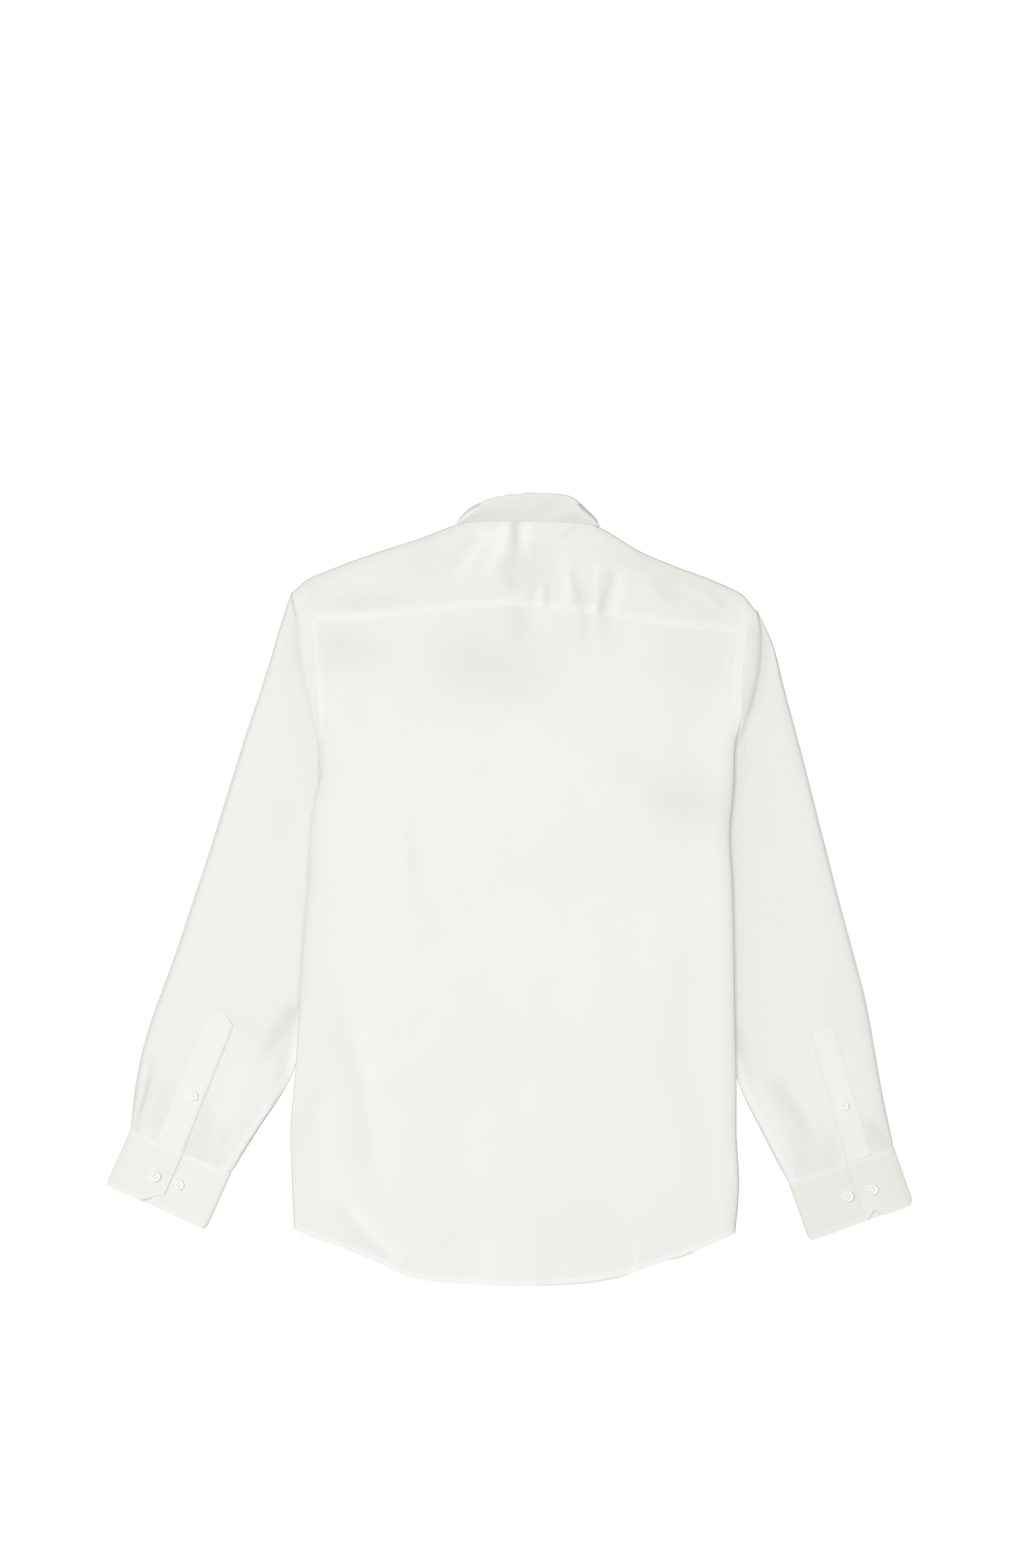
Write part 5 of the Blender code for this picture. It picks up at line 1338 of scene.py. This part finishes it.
def sleeve_height(side, x, y, share, from_outer, outside):
    """The upper layer: a rise of 1 - exp(-d / 7) from the outer edge, the folds, and low under the body."""
    puff = SLEEVE_HIGH + SLEEVE_PUFF * (1.0 - np.exp(-from_outer / 7.0)) * (1.0 - 0.35 * share)
    start, end = BESIDE_BODY[side]
    if side == "left":
        below = smooth(-112.0, -160.0, y)
        low_start, low_end = BESIDE_BODY_LOW
        start, end = start + (low_start - start) * below, end + (low_end - end) * below
    beside = smooth(0.0, 1.0, (outside - start) / (end - start))
    return WALL / 2 + LAYER + beside * soft_max(puff + folds(x, y, SLEEVE_FOLDS[side]), 0.0, 0.5)


def sleeve_painted_shade(side, x, y, from_outer, outside):
    """Painted light and shade: lighter on fold ridges, darker in troughs and hollows and towards the
    outer edge, and a painted shadow beside the fold at the armhole.
    """
    at_edge, edge_reach, at_fold, fold_reach = SLEEVE_EDGE_PAINTED_SHADES[side]
    fold = SLEEVE_EDGES[side]["fold"]
    from_fold = outside - curve(fold["y"], fold["width"])(y)
    painted_fold_shadow = np.exp(-np.abs(from_fold) / np.where(from_fold > 0.0, fold_reach, 3.0))
    shade = 0.45 * folds(x, y, SLEEVE_FOLDS[side]) + 2.0 * folds(x, y, SLEEVE_PAINTED_SHADES[side]) - 0.4
    shade = shade - at_edge * np.exp(-from_outer / edge_reach)
    return shade - at_fold * painted_fold_shadow * smooth(-240.0, -150.0, y)


def tube_loops(plans, upper, low, samples=5):
    """Loops over the top, round a half circle at one side, back below and round the other side."""
    top = np.dstack([plans, upper])
    bottom = np.dstack([plans, np.full_like(upper, low)])
    rolls = []
    turn = np.radians(np.linspace(0.0, 180.0, samples + 2)[1:-1])
    for at, step in ((-1, -1), (0, 1)):
        edge = plans[:, at]
        radius = ((upper[:, at] - low) / 2.0)[:, None]
        inward = unit(plans[:, at + step] - edge)
        centre = edge + inward * radius
        around = [np.column_stack([centre - inward * radius * math.sin(a), low + radius * (1 + math.cos(a))])
                  for a in turn]
        rolls.append(np.stack(around[::-step], axis=1))
        for shift in (0, 1, 2):
            column = at + step * shift
            away = np.linalg.norm(plans[:, column] - edge, axis=1, keepdims=True)
            push = inward * np.maximum(radius * (1 + 0.4 * shift) - away, 0.0)
            top[:, column, :2] += push
            bottom[:, column, :2] += push
    return np.concatenate([top, rolls[0], bottom[:, ::-1], rolls[1]], axis=1)


sleeve_tops = {side: make_sleeve(side) for side in SIGN}

# %% [markdown]
# ## Cuffs
# A cuff is one stiffened strip that goes round the wrist. Its ends lap: the over end has the buttonhole
# and a cut corner, the under end shows below it with its own button. The strip's section, a closed loop
# with lapped ends, is carried down the cuff's height, and the corners are cut by shortening that height.

# %% Cuff strips
CUFF_HEIGHT = 62.5
CUFF_STITCH = 5.5                            # from the edge to the row of stitches
# painted shade: how much darker each cuff is painted, the right one more
CUFF_PAINTED_SHADES = {"left": 0.9, "right": 1.7}     # how much darker the cuffs are
MITRE = (20.0, 16.5)                         # the cut corner, along and up


def cuff_section(over, under, width):
    """Distance along and height, round the wrist from the over end to the under end."""
    rows = [
        # along the cuff, levels up, and a little more
        (over, 1.72, 0), (over - 8, 1.88, 0), (over - 20, 2.1, 0), (over * 0.4, 2, 0.4), (8, 2, 0),
        (3, 2, -0.5), (0.9, 1.6, 0), (0.7, 0.8, 0), (2.4, 0, 0.1), (6, 0, 0), (width * 0.3, 0, 0),
        (width * 0.6, 0, 0), (width - 6, 0, 0), (width - 2.2, 0, 0.1), (width - 0.7, 0.7, 0),
        (width - 1, 1.4, 0), (width - 4, 1.85, 0), (width - 14, 1.9, 0), (over + 22, 1.6, 0),
        (over + 9, 1.04, 0), (over, 0.98, 0), (under + 20, 1, 0), (under + 8, 1, 0), (under, 1, 0),
    ]
    along, levels, more = np.array(rows, float).T
    return np.column_stack([along, STIFF / 2 + levels * (STIFF + GAP) + more])


def make_cuff(side):
    """The section's points round the wrist, read finely, times the height down from the top edge."""
    size = CUFFS[side]
    origin, across, down, width = cuff_frame(size)
    over, under = size["over_end"], size["under_end"]
    strip = cuff_section(over, under, width)
    along, up = MITRE
    count = len(strip)
    at = np.unique(np.concatenate([np.linspace(i, i + 1, 8) for i in range(count - 1)]))
    fine = resample(strip, at)
    over_cut = up * np.clip(1.0 - (over - fine[:, 0]) / along, 0.0, 1.0) * (at < 4)
    under_cut = up * np.clip(1.0 - (fine[:, 0] - under) / along, 0.0, 1.0) * (at > count - 5)
    lower_plies = 0.6 * smooth(4.0, 5.0, at) * smooth(10.0, 9.0, at)
    reach = CUFF_HEIGHT - over_cut - under_cut - lower_plies
    share = np.concatenate([[0.0, 0.015, 0.03], np.linspace(0.06, 0.94, 24), [0.97, 0.985, 1.0]])
    depth = GAP + share[None, :] * (reach[:, None] - GAP)
    place, level = fine[:, :1], fine[:, 1:]
    at_side = smooth(4.0, 0.0, np.minimum(place, width - place)) * np.sign(width / 2 - place)
    along_strip = place + at_side * 3.0 * smooth(0.86, 1.0, share[None, :]) ** 2
    plan = origin + along_strip[..., None] * across + depth[..., None] * down
    seam = np.minimum(depth, reach[:, None] - depth)
    height = np.broadcast_to(level, depth.shape) + 0.08 * pucker(place, 1.4) * hump(seam, 6.0, 4.0)
    height = height - 0.12 * (2.0 * smooth(1.0, 2.0, level) - 1.0) * hump(seam, CUFF_STITCH, 0.8)
    grid = np.dstack([plan, height])
    plies = 1.0 + 0.6 * (1.0 - smooth(4.6, 6.2, seam))
    past_lap = np.where((place > over - 1.0) & (at[:, None] > 4.0), np.abs(place - over), 99.0)
    mitre_end = CUFF_HEIGHT - MITRE[1]
    # Painted shade: darker over the whole cuff and at both its ends, and a painted shadow beside the over
    # end's lap, down to its cut corner.
    tone = -CUFF_PAINTED_SHADES[side] - 1.6 * np.exp(-place / 6.0) - 1.2 * np.exp(-(width - place) / 3.0)
    tone = tone - 2.6 * np.exp(-past_lap / 2.0) * smooth(mitre_end + 1.5, mitre_end - 1.5, depth)
    return cloth_piece("cuff_" + side, grid, fused_poplin, ply=FUSED, plies=plies, tone=tone)


cuff_grids = {side: make_cuff(side) for side in SIGN}

# %% [markdown]
# ## Sleeve plackets
# The slit above each cuff is bound by a pointed placket. It is a strip of two plies, stitched down round
# its point and closed with one small button. It lies on the sleeve, so its heights are read from the
# sleeve's own upper surface, evened out a little because two plies bridge small hollows.

# %% Plackets on the sleeves
TOWERS = {
    "left": {"apex": (-288.8, -125.0), "corners": ((-304.6, -130.5), (-280.4, -138.8)),
             "ends": ((-357.7, -256.2), (-331.9, -267.8)), "button": (-320.7, -210.2)},
    "right": {"apex": (315.4, -134.2), "corners": ((305.6, -145.6), (329.6, -139.9)),
              "ends": ((343.6, -278.4), (369.0, -269.6)), "button": (341.0, -220.2)},
}


def height_on(grid, x, y):
    """The height of a sleeve's upper layer: its four nearest grid points, weighted by nearness."""
    flat = grid.reshape(-1, 3)
    away = (x.ravel()[:, None] - flat[None, :, 0]) ** 2 + (y.ravel()[:, None] - flat[None, :, 1]) ** 2
    nearest = np.argpartition(away, 4, axis=1)[:, :4]
    weight = 1.0 / (np.take_along_axis(away, nearest, axis=1) + 0.05)
    return ((flat[nearest, 2] * weight).sum(axis=1) / weight.sum(axis=1)).reshape(x.shape)


def make_tower(side):
    """Rows across between the placket's two edges, from its point to the cuff, one ply above the sleeve."""
    size = TOWERS[side]
    apex = np.array(size["apex"])
    corners, ends = np.array(size["corners"]), np.array(size["ends"])
    tip = [apex + (corners - apex) * share for share in (0.03, 0.25, 0.5, 0.75)]
    shares = np.concatenate([np.linspace(0.0, 0.94, 74), [0.955, 0.97, 0.985, 1.0]])
    edges = np.stack(tip + [corners + (ends - corners) * share for share in shares])
    across = np.array([0.0, 0.03, 0.09, 0.2, 0.32, 0.44, 0.56, 0.68, 0.8, 0.91, 0.97, 1.0])[None]
    plan = edges[:, :1] * (1 - across[..., None]) + edges[:, 1:] * across[..., None]
    height = height_on(sleeve_tops[side], plan[..., 0], plan[..., 1])
    for _ in range(8):
        padded = np.pad(height, 1, mode="edge")
        around = padded[:-2, 1:-1] + padded[2:, 1:-1] + padded[1:-1, :-2] + padded[1:-1, 2:]
        height = 0.4 * height + 0.15 * around
    open_edge = across if side == "left" else 1 - across
    height = height + 0.55 + 0.3 * smooth(0.0, 0.12, from_rim(across)) + 0.4 * smooth(0.80, 1.0, open_edge)
    grid = np.dstack([plan, height])
    # Painted shade: the placket is painted a little darker, with a painted shadow along its open edge.
    tone = -0.4 - 1.4 * smooth(0.86, 1.0, open_edge)
    return cloth_piece("tower_" + side, grid, sleeve_poplin, plies=np.full(height.shape, 1.5), tone=tone)


tower_grids = {side: make_tower(side) for side in SIGN}

# %% [markdown]
# ## Buttons
# The buttons are turned from a milky resin, with a raised rim, a dished middle and four holes. A lathe
# profile gives the rim and the dish. The holes are pits in the same surface: the height is lowered where
# a point is nearer to a hole's centre than its radius, which needs no cutting. Two bars of thread pass
# over the middle, from hole to hole.

# %% Button shape and look
def resin(name, colour):
    """Milky resin: faint clouds in the colour and a soft gloss."""
    look, tree, shader = new_look(name)
    place = node(tree, "ShaderNodeTexCoord").outputs["Object"]
    cloud = fed(tree, place, "Vector", "ShaderNodeTexNoise", Scale=260.0, Detail=3.0,
                Distortion=1.2).outputs["Fac"]
    tree.links.new(between(tree, cloud, [c * 0.93 for c in colour], colour), shader.inputs["Base Color"])
    tree.links.new(ranged(tree, cloud, 0.3, 0.7, 0.26, 0.38), shader.inputs["Roughness"])
    return look


milky_resin = resin("milky_resin", (0.90, 0.90, 0.88))


HOLE_SPREAD, HOLE_SIZE, HOLE_DEPTH = 0.24, 0.13, 0.4     # shares of a button's radius and thickness


def button_surface(radius, thickness, spokes=40):
    """Rings of a lathe profile, top middle outward, round the rim and back below; pits for four holes."""
    profile = np.array([
        (0, 0.78), (0.08, 0.78), (0.16, 0.78), (0.22, 0.785), (0.28, 0.79), (0.34, 0.795), (0.40, 0.80),
        (0.48, 0.81), (0.56, 0.83), (0.63, 0.88), (0.69, 0.95), (0.77, 1), (0.88, 0.98), (0.95, 0.86),
        (0.99, 0.62), (1, 0.42), (0.96, 0.22), (0.86, 0.07), (0.70, 0), (0.35, 0), (0, 0),
    ])
    angle = np.arange(spokes) * 2 * math.pi / spokes
    ring = profile[1:-1, 0][:, None] * radius
    x, y = ring * np.cos(angle), ring * np.sin(angle)
    z = np.repeat(profile[1:-1, 1][:, None] * thickness, spokes, axis=1)
    hole, spread = HOLE_SIZE * radius, HOLE_SPREAD * radius
    upper = (np.arange(len(ring)) < 9)[:, None]
    for hx in (-1, 1):
        for hy in (-1, 1):
            away = np.hypot(x - hx * spread, y - hy * spread)
            z = z - np.where(upper, HOLE_DEPTH * thickness * smooth(hole * 1.25, hole * 0.8, away), 0.0)
    middles = np.array([[[0, 0, profile[0, 1] * thickness]], [[0, 0, 0]]])
    points = np.concatenate([middles[0], np.stack([x, y, z], axis=-1).reshape(-1, 3), middles[1]])
    index = 1 + np.arange(ring.shape[0] * spokes).reshape(-1, spokes)
    after = np.roll(index, -1, axis=1)
    caps = [[0, int(a), int(b)] for a, b in zip(index[0], after[0])]
    caps += [[len(points) - 1, int(b), int(a)] for a, b in zip(index[-1], after[-1])]
    return points, round_quads(index).tolist() + caps


def thread_bars(radius, thickness):
    """Two short arched bars of thread over the button's middle: a circle carried along an arc."""
    spread, bar = HOLE_SPREAD * radius, 0.09 * radius
    t = np.linspace(-1.0, 1.0, 9)
    angle = np.arange(6) * math.pi / 3
    points, faces = [], []
    for hy in (-1, 1):
        start = sum(len(p) for p in points)
        centre = np.column_stack([t * spread, np.full(9, hy * spread), thickness * (0.86 - 0.24 * t**4)])
        ring = np.stack([np.zeros(6), np.cos(angle) * bar * 1.6, np.sin(angle) * bar], axis=-1)
        points.append((centre[:, None] + ring[None]).reshape(-1, 3))
        index = start + np.arange(54).reshape(9, 6)
        faces += round_quads(index)[:, [0, 3, 2, 1]].tolist()
        faces += [index[0, ::-1].tolist(), index[-1].tolist()]
    return np.concatenate(points), faces


def turned(points, spin, tilt_up, place):
    """Points turned about the button's axis, put on the slope of the cloth, and moved to their place."""
    c, s = math.cos(spin), math.sin(spin)
    points = points @ np.array([[c, s, 0], [-s, c, 0], [0, 0, 1.0]])
    up = unit(tilt_up)
    side = unit(np.cross([0.0, 1.0, 0.0], up) if abs(up[1]) < 0.9 else np.cross([1.0, 0.0, 0.0], up))
    fore = np.cross(up, side)
    return points @ np.stack([side, fore, up]) + np.array(place)


def sew_button(node_name, radius, thickness, place, up, spin):
    """One button and its thread at a place on the cloth."""
    points, faces = button_surface(radius, thickness)
    button = new_piece(node_name + "_turned", turned(points, spin, up, place), faces, milky_resin)
    button.data.set_sharp_from_angle(angle=math.radians(60))
    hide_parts(node_name)
    points, faces = thread_bars(radius, thickness)
    thread = new_piece(node_name + "_thread", turned(points, spin, up, place), faces, white_thread)


def seat(grid, x, y):
    """The height of the grid point nearest to a plan place, with half its height taken off its distance."""
    away = np.hypot(grid[..., 0] - x, grid[..., 1] - y) - 0.5 * grid[..., 2]
    return grid.reshape(-1, 3)[np.argmin(away), 2]


CUFF_BUTTON = (5.7, 2.4)      # radius and thickness
SMALL_BUTTON = (4.7, 2.1)
UP = np.array([0.0, 0.0, 1.0])
for side, grid in cuff_grids.items():
    origin, across, down, _ = cuff_frame(CUFFS[side])
    for name, (along, deep), spin in zip(("over", "under"), CUFFS[side]["buttons"], (0.5, 0.9)):
        x, y = origin + across * along + down * deep
        place = (x, y, seat(grid, x, y) + FUSED / 2 + 0.15)
        sew_button(f"cuff_button_{side}_{name}", *CUFF_BUTTON, place, UP, spin)
for side, grid in tower_grids.items():
    x, y = TOWERS[side]["button"]
    sew_button("tower_button_" + side, *SMALL_BUTTON, (x, y, seat(grid, x, y) + PLY / 2 + 0.25), UP, 0.7)

FRONT_BUTTON_TOP, FRONT_BUTTON_PITCH, COLLAR_BUTTON_Y = 262.0, 88.0, 312.0
middle_line = front_plan(np.array([0.0, 0.5, 1.0]), 40, 8)[:, 1]
front_y = [COLLAR_BUTTON_Y] + [FRONT_BUTTON_TOP - FRONT_BUTTON_PITCH * i for i in range(6)]
for number, y in enumerate(front_y, start=1):
    x = COLLAR_CENTRE[0] if number == 1 else float(np.interp(y, middle_line[:, 1], middle_line[:, 0]))
    sew_button(f"front_button_{number}", *SMALL_BUTTON, (x, y, SMALL_BUTTON[1] + 0.1), -UP, 0.3 * number)
print("buttons sewn on:", 6 + len(front_y))

# %% [markdown]
# ## Stitching
# A lock stitch leaves short dashes of thread on the cloth, each a little sunk in it. One dash is a low
# loaf of 14 faces. Curves or a texture could draw the line, but real dashes also catch the light from
# the side. A path is given in rows and columns of a cloth grid, and the dashes lie evenly along it.

# %% Rows of stitches
STITCH_PITCH, STITCH_LENGTH, STITCH_WIDTH, STITCH_RISE = 2.6, 1.8, 0.40, 0.16


def read_grid(grid, rows, columns):
    """Points between the grid's points: the weighted mean of the four round each place."""
    i = np.clip(rows.astype(int), 0, grid.shape[0] - 2)
    j = np.clip(columns.astype(int), 0, grid.shape[1] - 2)
    r, c = (rows - i)[:, None], (columns - j)[:, None]
    low = (1 - c) * grid[i, j] + c * grid[i, j + 1]
    high = (1 - c) * grid[i + 1, j] + c * grid[i + 1, j + 1]
    return (1 - r) * low + r * high


def line_at(grid, distance, rows, from_last=False):
    """The path that keeps a distance from a grid's first or last column, one place for each given row."""
    steps = np.arange(grid.shape[1])
    picked = grid[rows][:, ::-1] if from_last else grid[rows]
    length = np.cumsum(np.linalg.norm(np.diff(picked, axis=1, prepend=picked[:, :1]), axis=2), axis=1)
    columns = np.array([np.interp(distance, row, steps) for row in length])
    return rows.astype(float), grid.shape[1] - 1 - columns if from_last else columns


def dashes(grid, rows, columns, lift, side=1.0, pitch=STITCH_PITCH):
    """Loaves of four rings of four corners: centre + run * l + across * w + up * h, evenly along a path.

    The side is 1 where the path's first place is seen from above, and -1 where it is seen from below.
    """
    points = read_grid(grid, rows, columns)
    up = read_grid(grid_normals(grid, False), rows, columns)
    up = up * side * np.sign(up[0, 2])
    length = run_length(points)
    steps = np.arange(pitch / 2, length[-1], pitch)

    def at(values, onward=0.0):
        return np.stack([np.interp(steps + onward, length, values[:, axis]) for axis in range(3)], axis=-1)

    run, up = unit(at(points, 0.4) - at(points, -0.4)), unit(at(up))
    across = np.cross(up, run)
    centre = at(points) + up * lift
    along = np.array([-0.5, -0.3, 0.3, 0.5])[:, None] * STITCH_LENGTH * pitch / STITCH_PITCH
    narrow = np.array([0.4, 1.0, 1.0, 0.4])[:, None]
    rise = np.array([-0.5, 1.0, 1.0, -0.5])[:, None]
    wide = narrow * np.array([-0.5, -0.32, 0.32, 0.5]) * STITCH_WIDTH
    high = (np.array([-1.0, 0.0, 0.0, -1.0]) + rise * np.array([0.0, 1.0, 1.0, 0.0])) * STITCH_RISE
    loaf = centre[:, None, None]
    for way, part in ((run, along), (across, wide), (up, high)):
        loaf = loaf + way[:, None, None] * np.broadcast_to(part, (4, 4))[None, ..., None]
    loaf[..., 2] = np.maximum(loaf[..., 2], TABLE_CLEAR)
    return loaf


def stitches(name, *lines, look=white_thread):
    """All dashes of one seam as a single mesh."""
    loaves = np.concatenate(lines).reshape(-1, 16, 3)
    ring = np.arange(16).reshape(4, 4)
    shape = np.concatenate([round_quads(ring), ring[:1], ring[-1:, ::-1]])
    faces = (shape[None] + 16 * np.arange(len(loaves))[:, None, None]).reshape(-1, 4)
    piece = new_piece(name, loaves.reshape(-1, 3), faces.tolist(), look)
    print(f"{name}: {len(loaves)} stitches")


def whole(count, at):
    """A straight path over all of a grid's rows or columns, with the other index held."""
    return np.arange(count, dtype=float), np.full(count, float(at))


def path_through(*places):
    """A path of rows and columns that runs straight from place to place."""
    last = len(places) - 1
    share = np.linspace(0.0, last, 12 * last + 1)
    rows, columns = np.array(places, float).T
    return np.interp(share, np.arange(last + 1), rows), np.interp(share, np.arange(last + 1), columns)


def place_of(values, wanted):
    """The place along a row or column of a grid where its values reach the wanted one."""
    order = np.argsort(values)
    return float(np.interp(wanted, values[order], order))


def buttonhole(grid, ends, apart, lift, side=1.0):
    """Two close rows of small stitches, one at each side of the slit."""
    rows, columns = path_through(*ends)
    return [dashes(grid, rows + s * apart[0], columns + s * apart[1], lift, side, 0.75) for s in (-1, 1)]


def column_seams(grid, rows, aside, lift, side=1.0):
    """Dashes up both sides of a grid, at a column counted from each side."""
    ends = (aside, grid.shape[1] - 1 - aside)
    return [dashes(grid, rows, np.full(len(rows), float(at)), lift, side) for at in ends]


HEM_ROW, YOKE_ROW, FELL_COLUMN, BAND_COLUMN = 4, 2, 4, 4.44
YOKE_TOP_ROWS = 38     # rows of the yoke up to the shoulder
ON_TOP, ON_HEM, ON_CUFF = PLY / 2 + 0.04, 0.72 * PLY + 0.04, 0.54 * FUSED + 0.04     # how high a row lies
across_back, at_row = whole(back_grid.shape[1], HEM_ROW)
stitches("back_hem_stitches", dashes(back_grid, at_row[8:-8], across_back[8:-8], ON_HEM))
armhole = np.flatnonzero(back_grid[:, 40, 1] > 150.0).astype(float)
stitches("armhole_stitches", *column_seams(back_grid, armhole, SIDE_EXTRA + FELL_COLUMN, ON_HEM))
across_yoke, at_row = whole(yoke_grid.shape[1], YOKE_ROW)
yoke_sides = column_seams(yoke_grid, np.arange(float(YOKE_TOP_ROWS)), FELL_COLUMN, ON_HEM)
stitches("yoke_stitches", dashes(yoke_grid, at_row, across_yoke, ON_HEM), *yoke_sides)
for side, upper in sleeve_tops.items():
    rows = np.flatnonzero(upper[:, -1, 1] < -60.0)[:-3]
    lines = [line_at(upper, distance, rows, from_last=True) for distance in (1.2, 8.0)]
    stitches(f"sleeve_{side}_stitches", *[dashes(upper, *line, ON_TOP) for line in lines])
for side, grid in cuff_grids.items():
    rows = np.arange(2, len(grid) - 2)
    lines = [line_at(grid, CUFF_STITCH, rows), line_at(grid, CUFF_STITCH, rows, from_last=True)]
    end_row = float(np.interp(CUFF_STITCH, run_length(grid[:12, 4]), np.arange(12)))
    lines.append(path_through((end_row, 4.0), (end_row, 22.0)))
    stitches(f"cuff_{side}_stitches", *[dashes(grid, *line, ON_CUFF) for line in lines])
for side, grid in tower_grids.items():
    last = len(grid) - 1.0
    around = path_through((last, 1.5), (5.0, 1.5), (1.6, 5.5), (5.0, 9.5), (last, 9.5))
    bar = path_through((13.0, 1.5), (13.0, 9.5))
    stitches(f"tower_{side}_stitches", dashes(grid, *around, ON_HEM), dashes(grid, *bar, ON_HEM))
for side, cuff in cuff_grids.items():
    origin, across, down, _ = cuff_frame(CUFFS[side])
    at, deep = CUFFS[side]["buttons"][0]
    ends = []
    for reach in (2.0, 0.0, -2.5, -5.0, -7.5, -11.0):
        row = round(place_of((cuff[:30, 12, :2] - origin) @ across, at + reach))
        ends.append((row, place_of((cuff[row, :, :2] - origin) @ down, deep)))
    holes = buttonhole(cuff, ends, (0.0, 0.26), 0.5 * FUSED + 0.05)
    middle = place_of(tower_grids[side][:, 6, 1], TOWERS[side]["button"][1])
    holes += buttonhole(tower_grids[side], [(middle - 3.6, 5.5), (middle + 3.6, 5.5)], (0.0, 0.2), ON_TOP)
    stitches(f"buttonholes_{side}", *holes, look=buttonhole_thread)
holes = []
for y in front_y[1:]:
    ends = [(place_of(band_grid[:, 8, 1], y + reach), 8.0) for reach in (-7.0, 7.0)]
    holes += buttonhole(band_grid, ends, (0.0, 0.25), 0.55 * PLY, -1.0)
stitches("buttonholes_front", *holes, look=buttonhole_thread)
rows = np.arange(3, len(leaf_grid) - 3)
leaf_lines = [line_at(leaf_grid, 4.0, rows, from_last=True), path_through((5.0, 12.0), (5.0, 40.0)),
              path_through((len(leaf_grid) - 6.0, 12.0), (len(leaf_grid) - 6.0, 40.0))]
stitches("collar_stitches", *[dashes(leaf_grid, *line, 0.5 * FUSED + 0.04, -1.0) for line in leaf_lines])
for side, grid in front_grids.items():
    across_front, at_row = whole(grid.shape[1], HEM_ROW)
    stitches(f"front_{side}_hem_stitches", dashes(grid, at_row, across_front, ON_HEM, -1.0))
up_band = np.arange(2.0, len(band_grid) - 2.0)
stitches("band_stitches", *column_seams(band_grid, up_band, BAND_COLUMN, 0.6 * PLY, -1.0))

# %% [markdown]
# ## Floor, light and camera
# The shirt lies on a white table under a wide soft lamp overhead and a smaller one at its upper left,
# with even light from all round to fill the shadows. The camera hangs straight above, far enough away
# that nothing looks bent.

# %% Floor, lights and camera
def pale_floor():
    """A wide flat sheet just under the shirt, in matt white with a very faint tone."""
    size = 6.0
    x, y = np.meshgrid(np.linspace(-size, size, 9), np.linspace(-size, size, 9))
    points = np.stack([x.ravel(), y.ravel(), np.full(x.size, -0.0002)], axis=-1)
    mesh = bpy.data.meshes.new("table_top")
    mesh.from_pydata(points.tolist(), [], quads(np.arange(81).reshape(9, 9)).tolist())
    look, _, shader = new_look("matt_white_table")
    shader.inputs["Base Color"].default_value = (0.22, 0.22, 0.22, 1.0)
    shader.inputs["Roughness"].default_value = 0.95
    shader.inputs["Specular IOR Level"].default_value = 0.0
    shader.inputs["Emission Color"].default_value = (1.0, 1.0, 1.0, 1.0)
    shader.inputs["Emission Strength"].default_value = 0.82
    mesh.materials.append(look)
    floor = bpy.data.objects.new("table_top", mesh)
    bpy.context.scene.collection.objects.link(floor)
    floor.visible_diffuse = False


def area_lamp(name, place, target, size, power):
    """A square lamp that faces its target."""
    lamp = bpy.data.lights.new(name, "AREA")
    lamp.shape = "SQUARE"
    lamp.size = size
    lamp.energy = power
    holder = bpy.data.objects.new(name, lamp)
    bpy.context.scene.collection.objects.link(holder)
    holder.visible_camera = False
    holder.location = place
    holder.rotation_euler = (Vector(target) - Vector(place)).to_track_quat("-Z", "Y").to_euler()


pale_floor()
area_lamp("soft_top", (0.0, 0.0, 4.4), (0.0, 0.0, 0.0), 2.4, 126.0)
area_lamp("soft_key", (-3.8, 1.2, 4.4), (0.0, 0.0, 0.0), 1.8, 84.0)
world = bpy.data.worlds.new("even_fill")
world.use_nodes = True
world.node_tree.nodes["Background"].inputs["Color"].default_value = (1.0, 1.0, 1.0, 1.0)
world.node_tree.nodes["Background"].inputs["Strength"].default_value = 0.30
bpy.context.scene.world = world
bpy.context.scene.view_settings.view_transform = "Standard"

lens = bpy.data.cameras.new("overhead")
lens.lens = 85.0
lens.sensor_width = 36.0
camera = bpy.data.objects.new("overhead", lens)
camera.location = (-0.0003, 0.1070, 3.770)
bpy.context.scene.collection.objects.link(camera)
bpy.context.scene.camera = camera
print("camera height, m:", camera.location.z)


CUTS = {
    # piece: (width and length of the cut in metres, how it is held)
    "back": ((0.50, 0.70), "laid"), "yoke": ((0.50, 0.16), "folded"),
    "front_left": ((0.25, 0.74), "laid"), "front_right": ((0.28, 0.74), "laid"),
    "placket_band": ((0.034, 0.70), "laid"),
    "collar_stand": ((0.46, 0.04), "folded"), "collar_leaf": ((0.46, 0.08), "folded"),
    "sleeve_left": ((0.42, 0.60), "laid"), "sleeve_right": ((0.42, 0.60), "laid"),
    "cuff_left": ((0.25, 0.064), "folded"), "cuff_right": ((0.25, 0.064), "folded"),
    "tower_left": ((0.028, 0.15), "laid"), "tower_right": ((0.028, 0.15), "laid"),
}
for name, (cut, held) in CUTS.items():
    piece, grid, closed = SEWN[name]
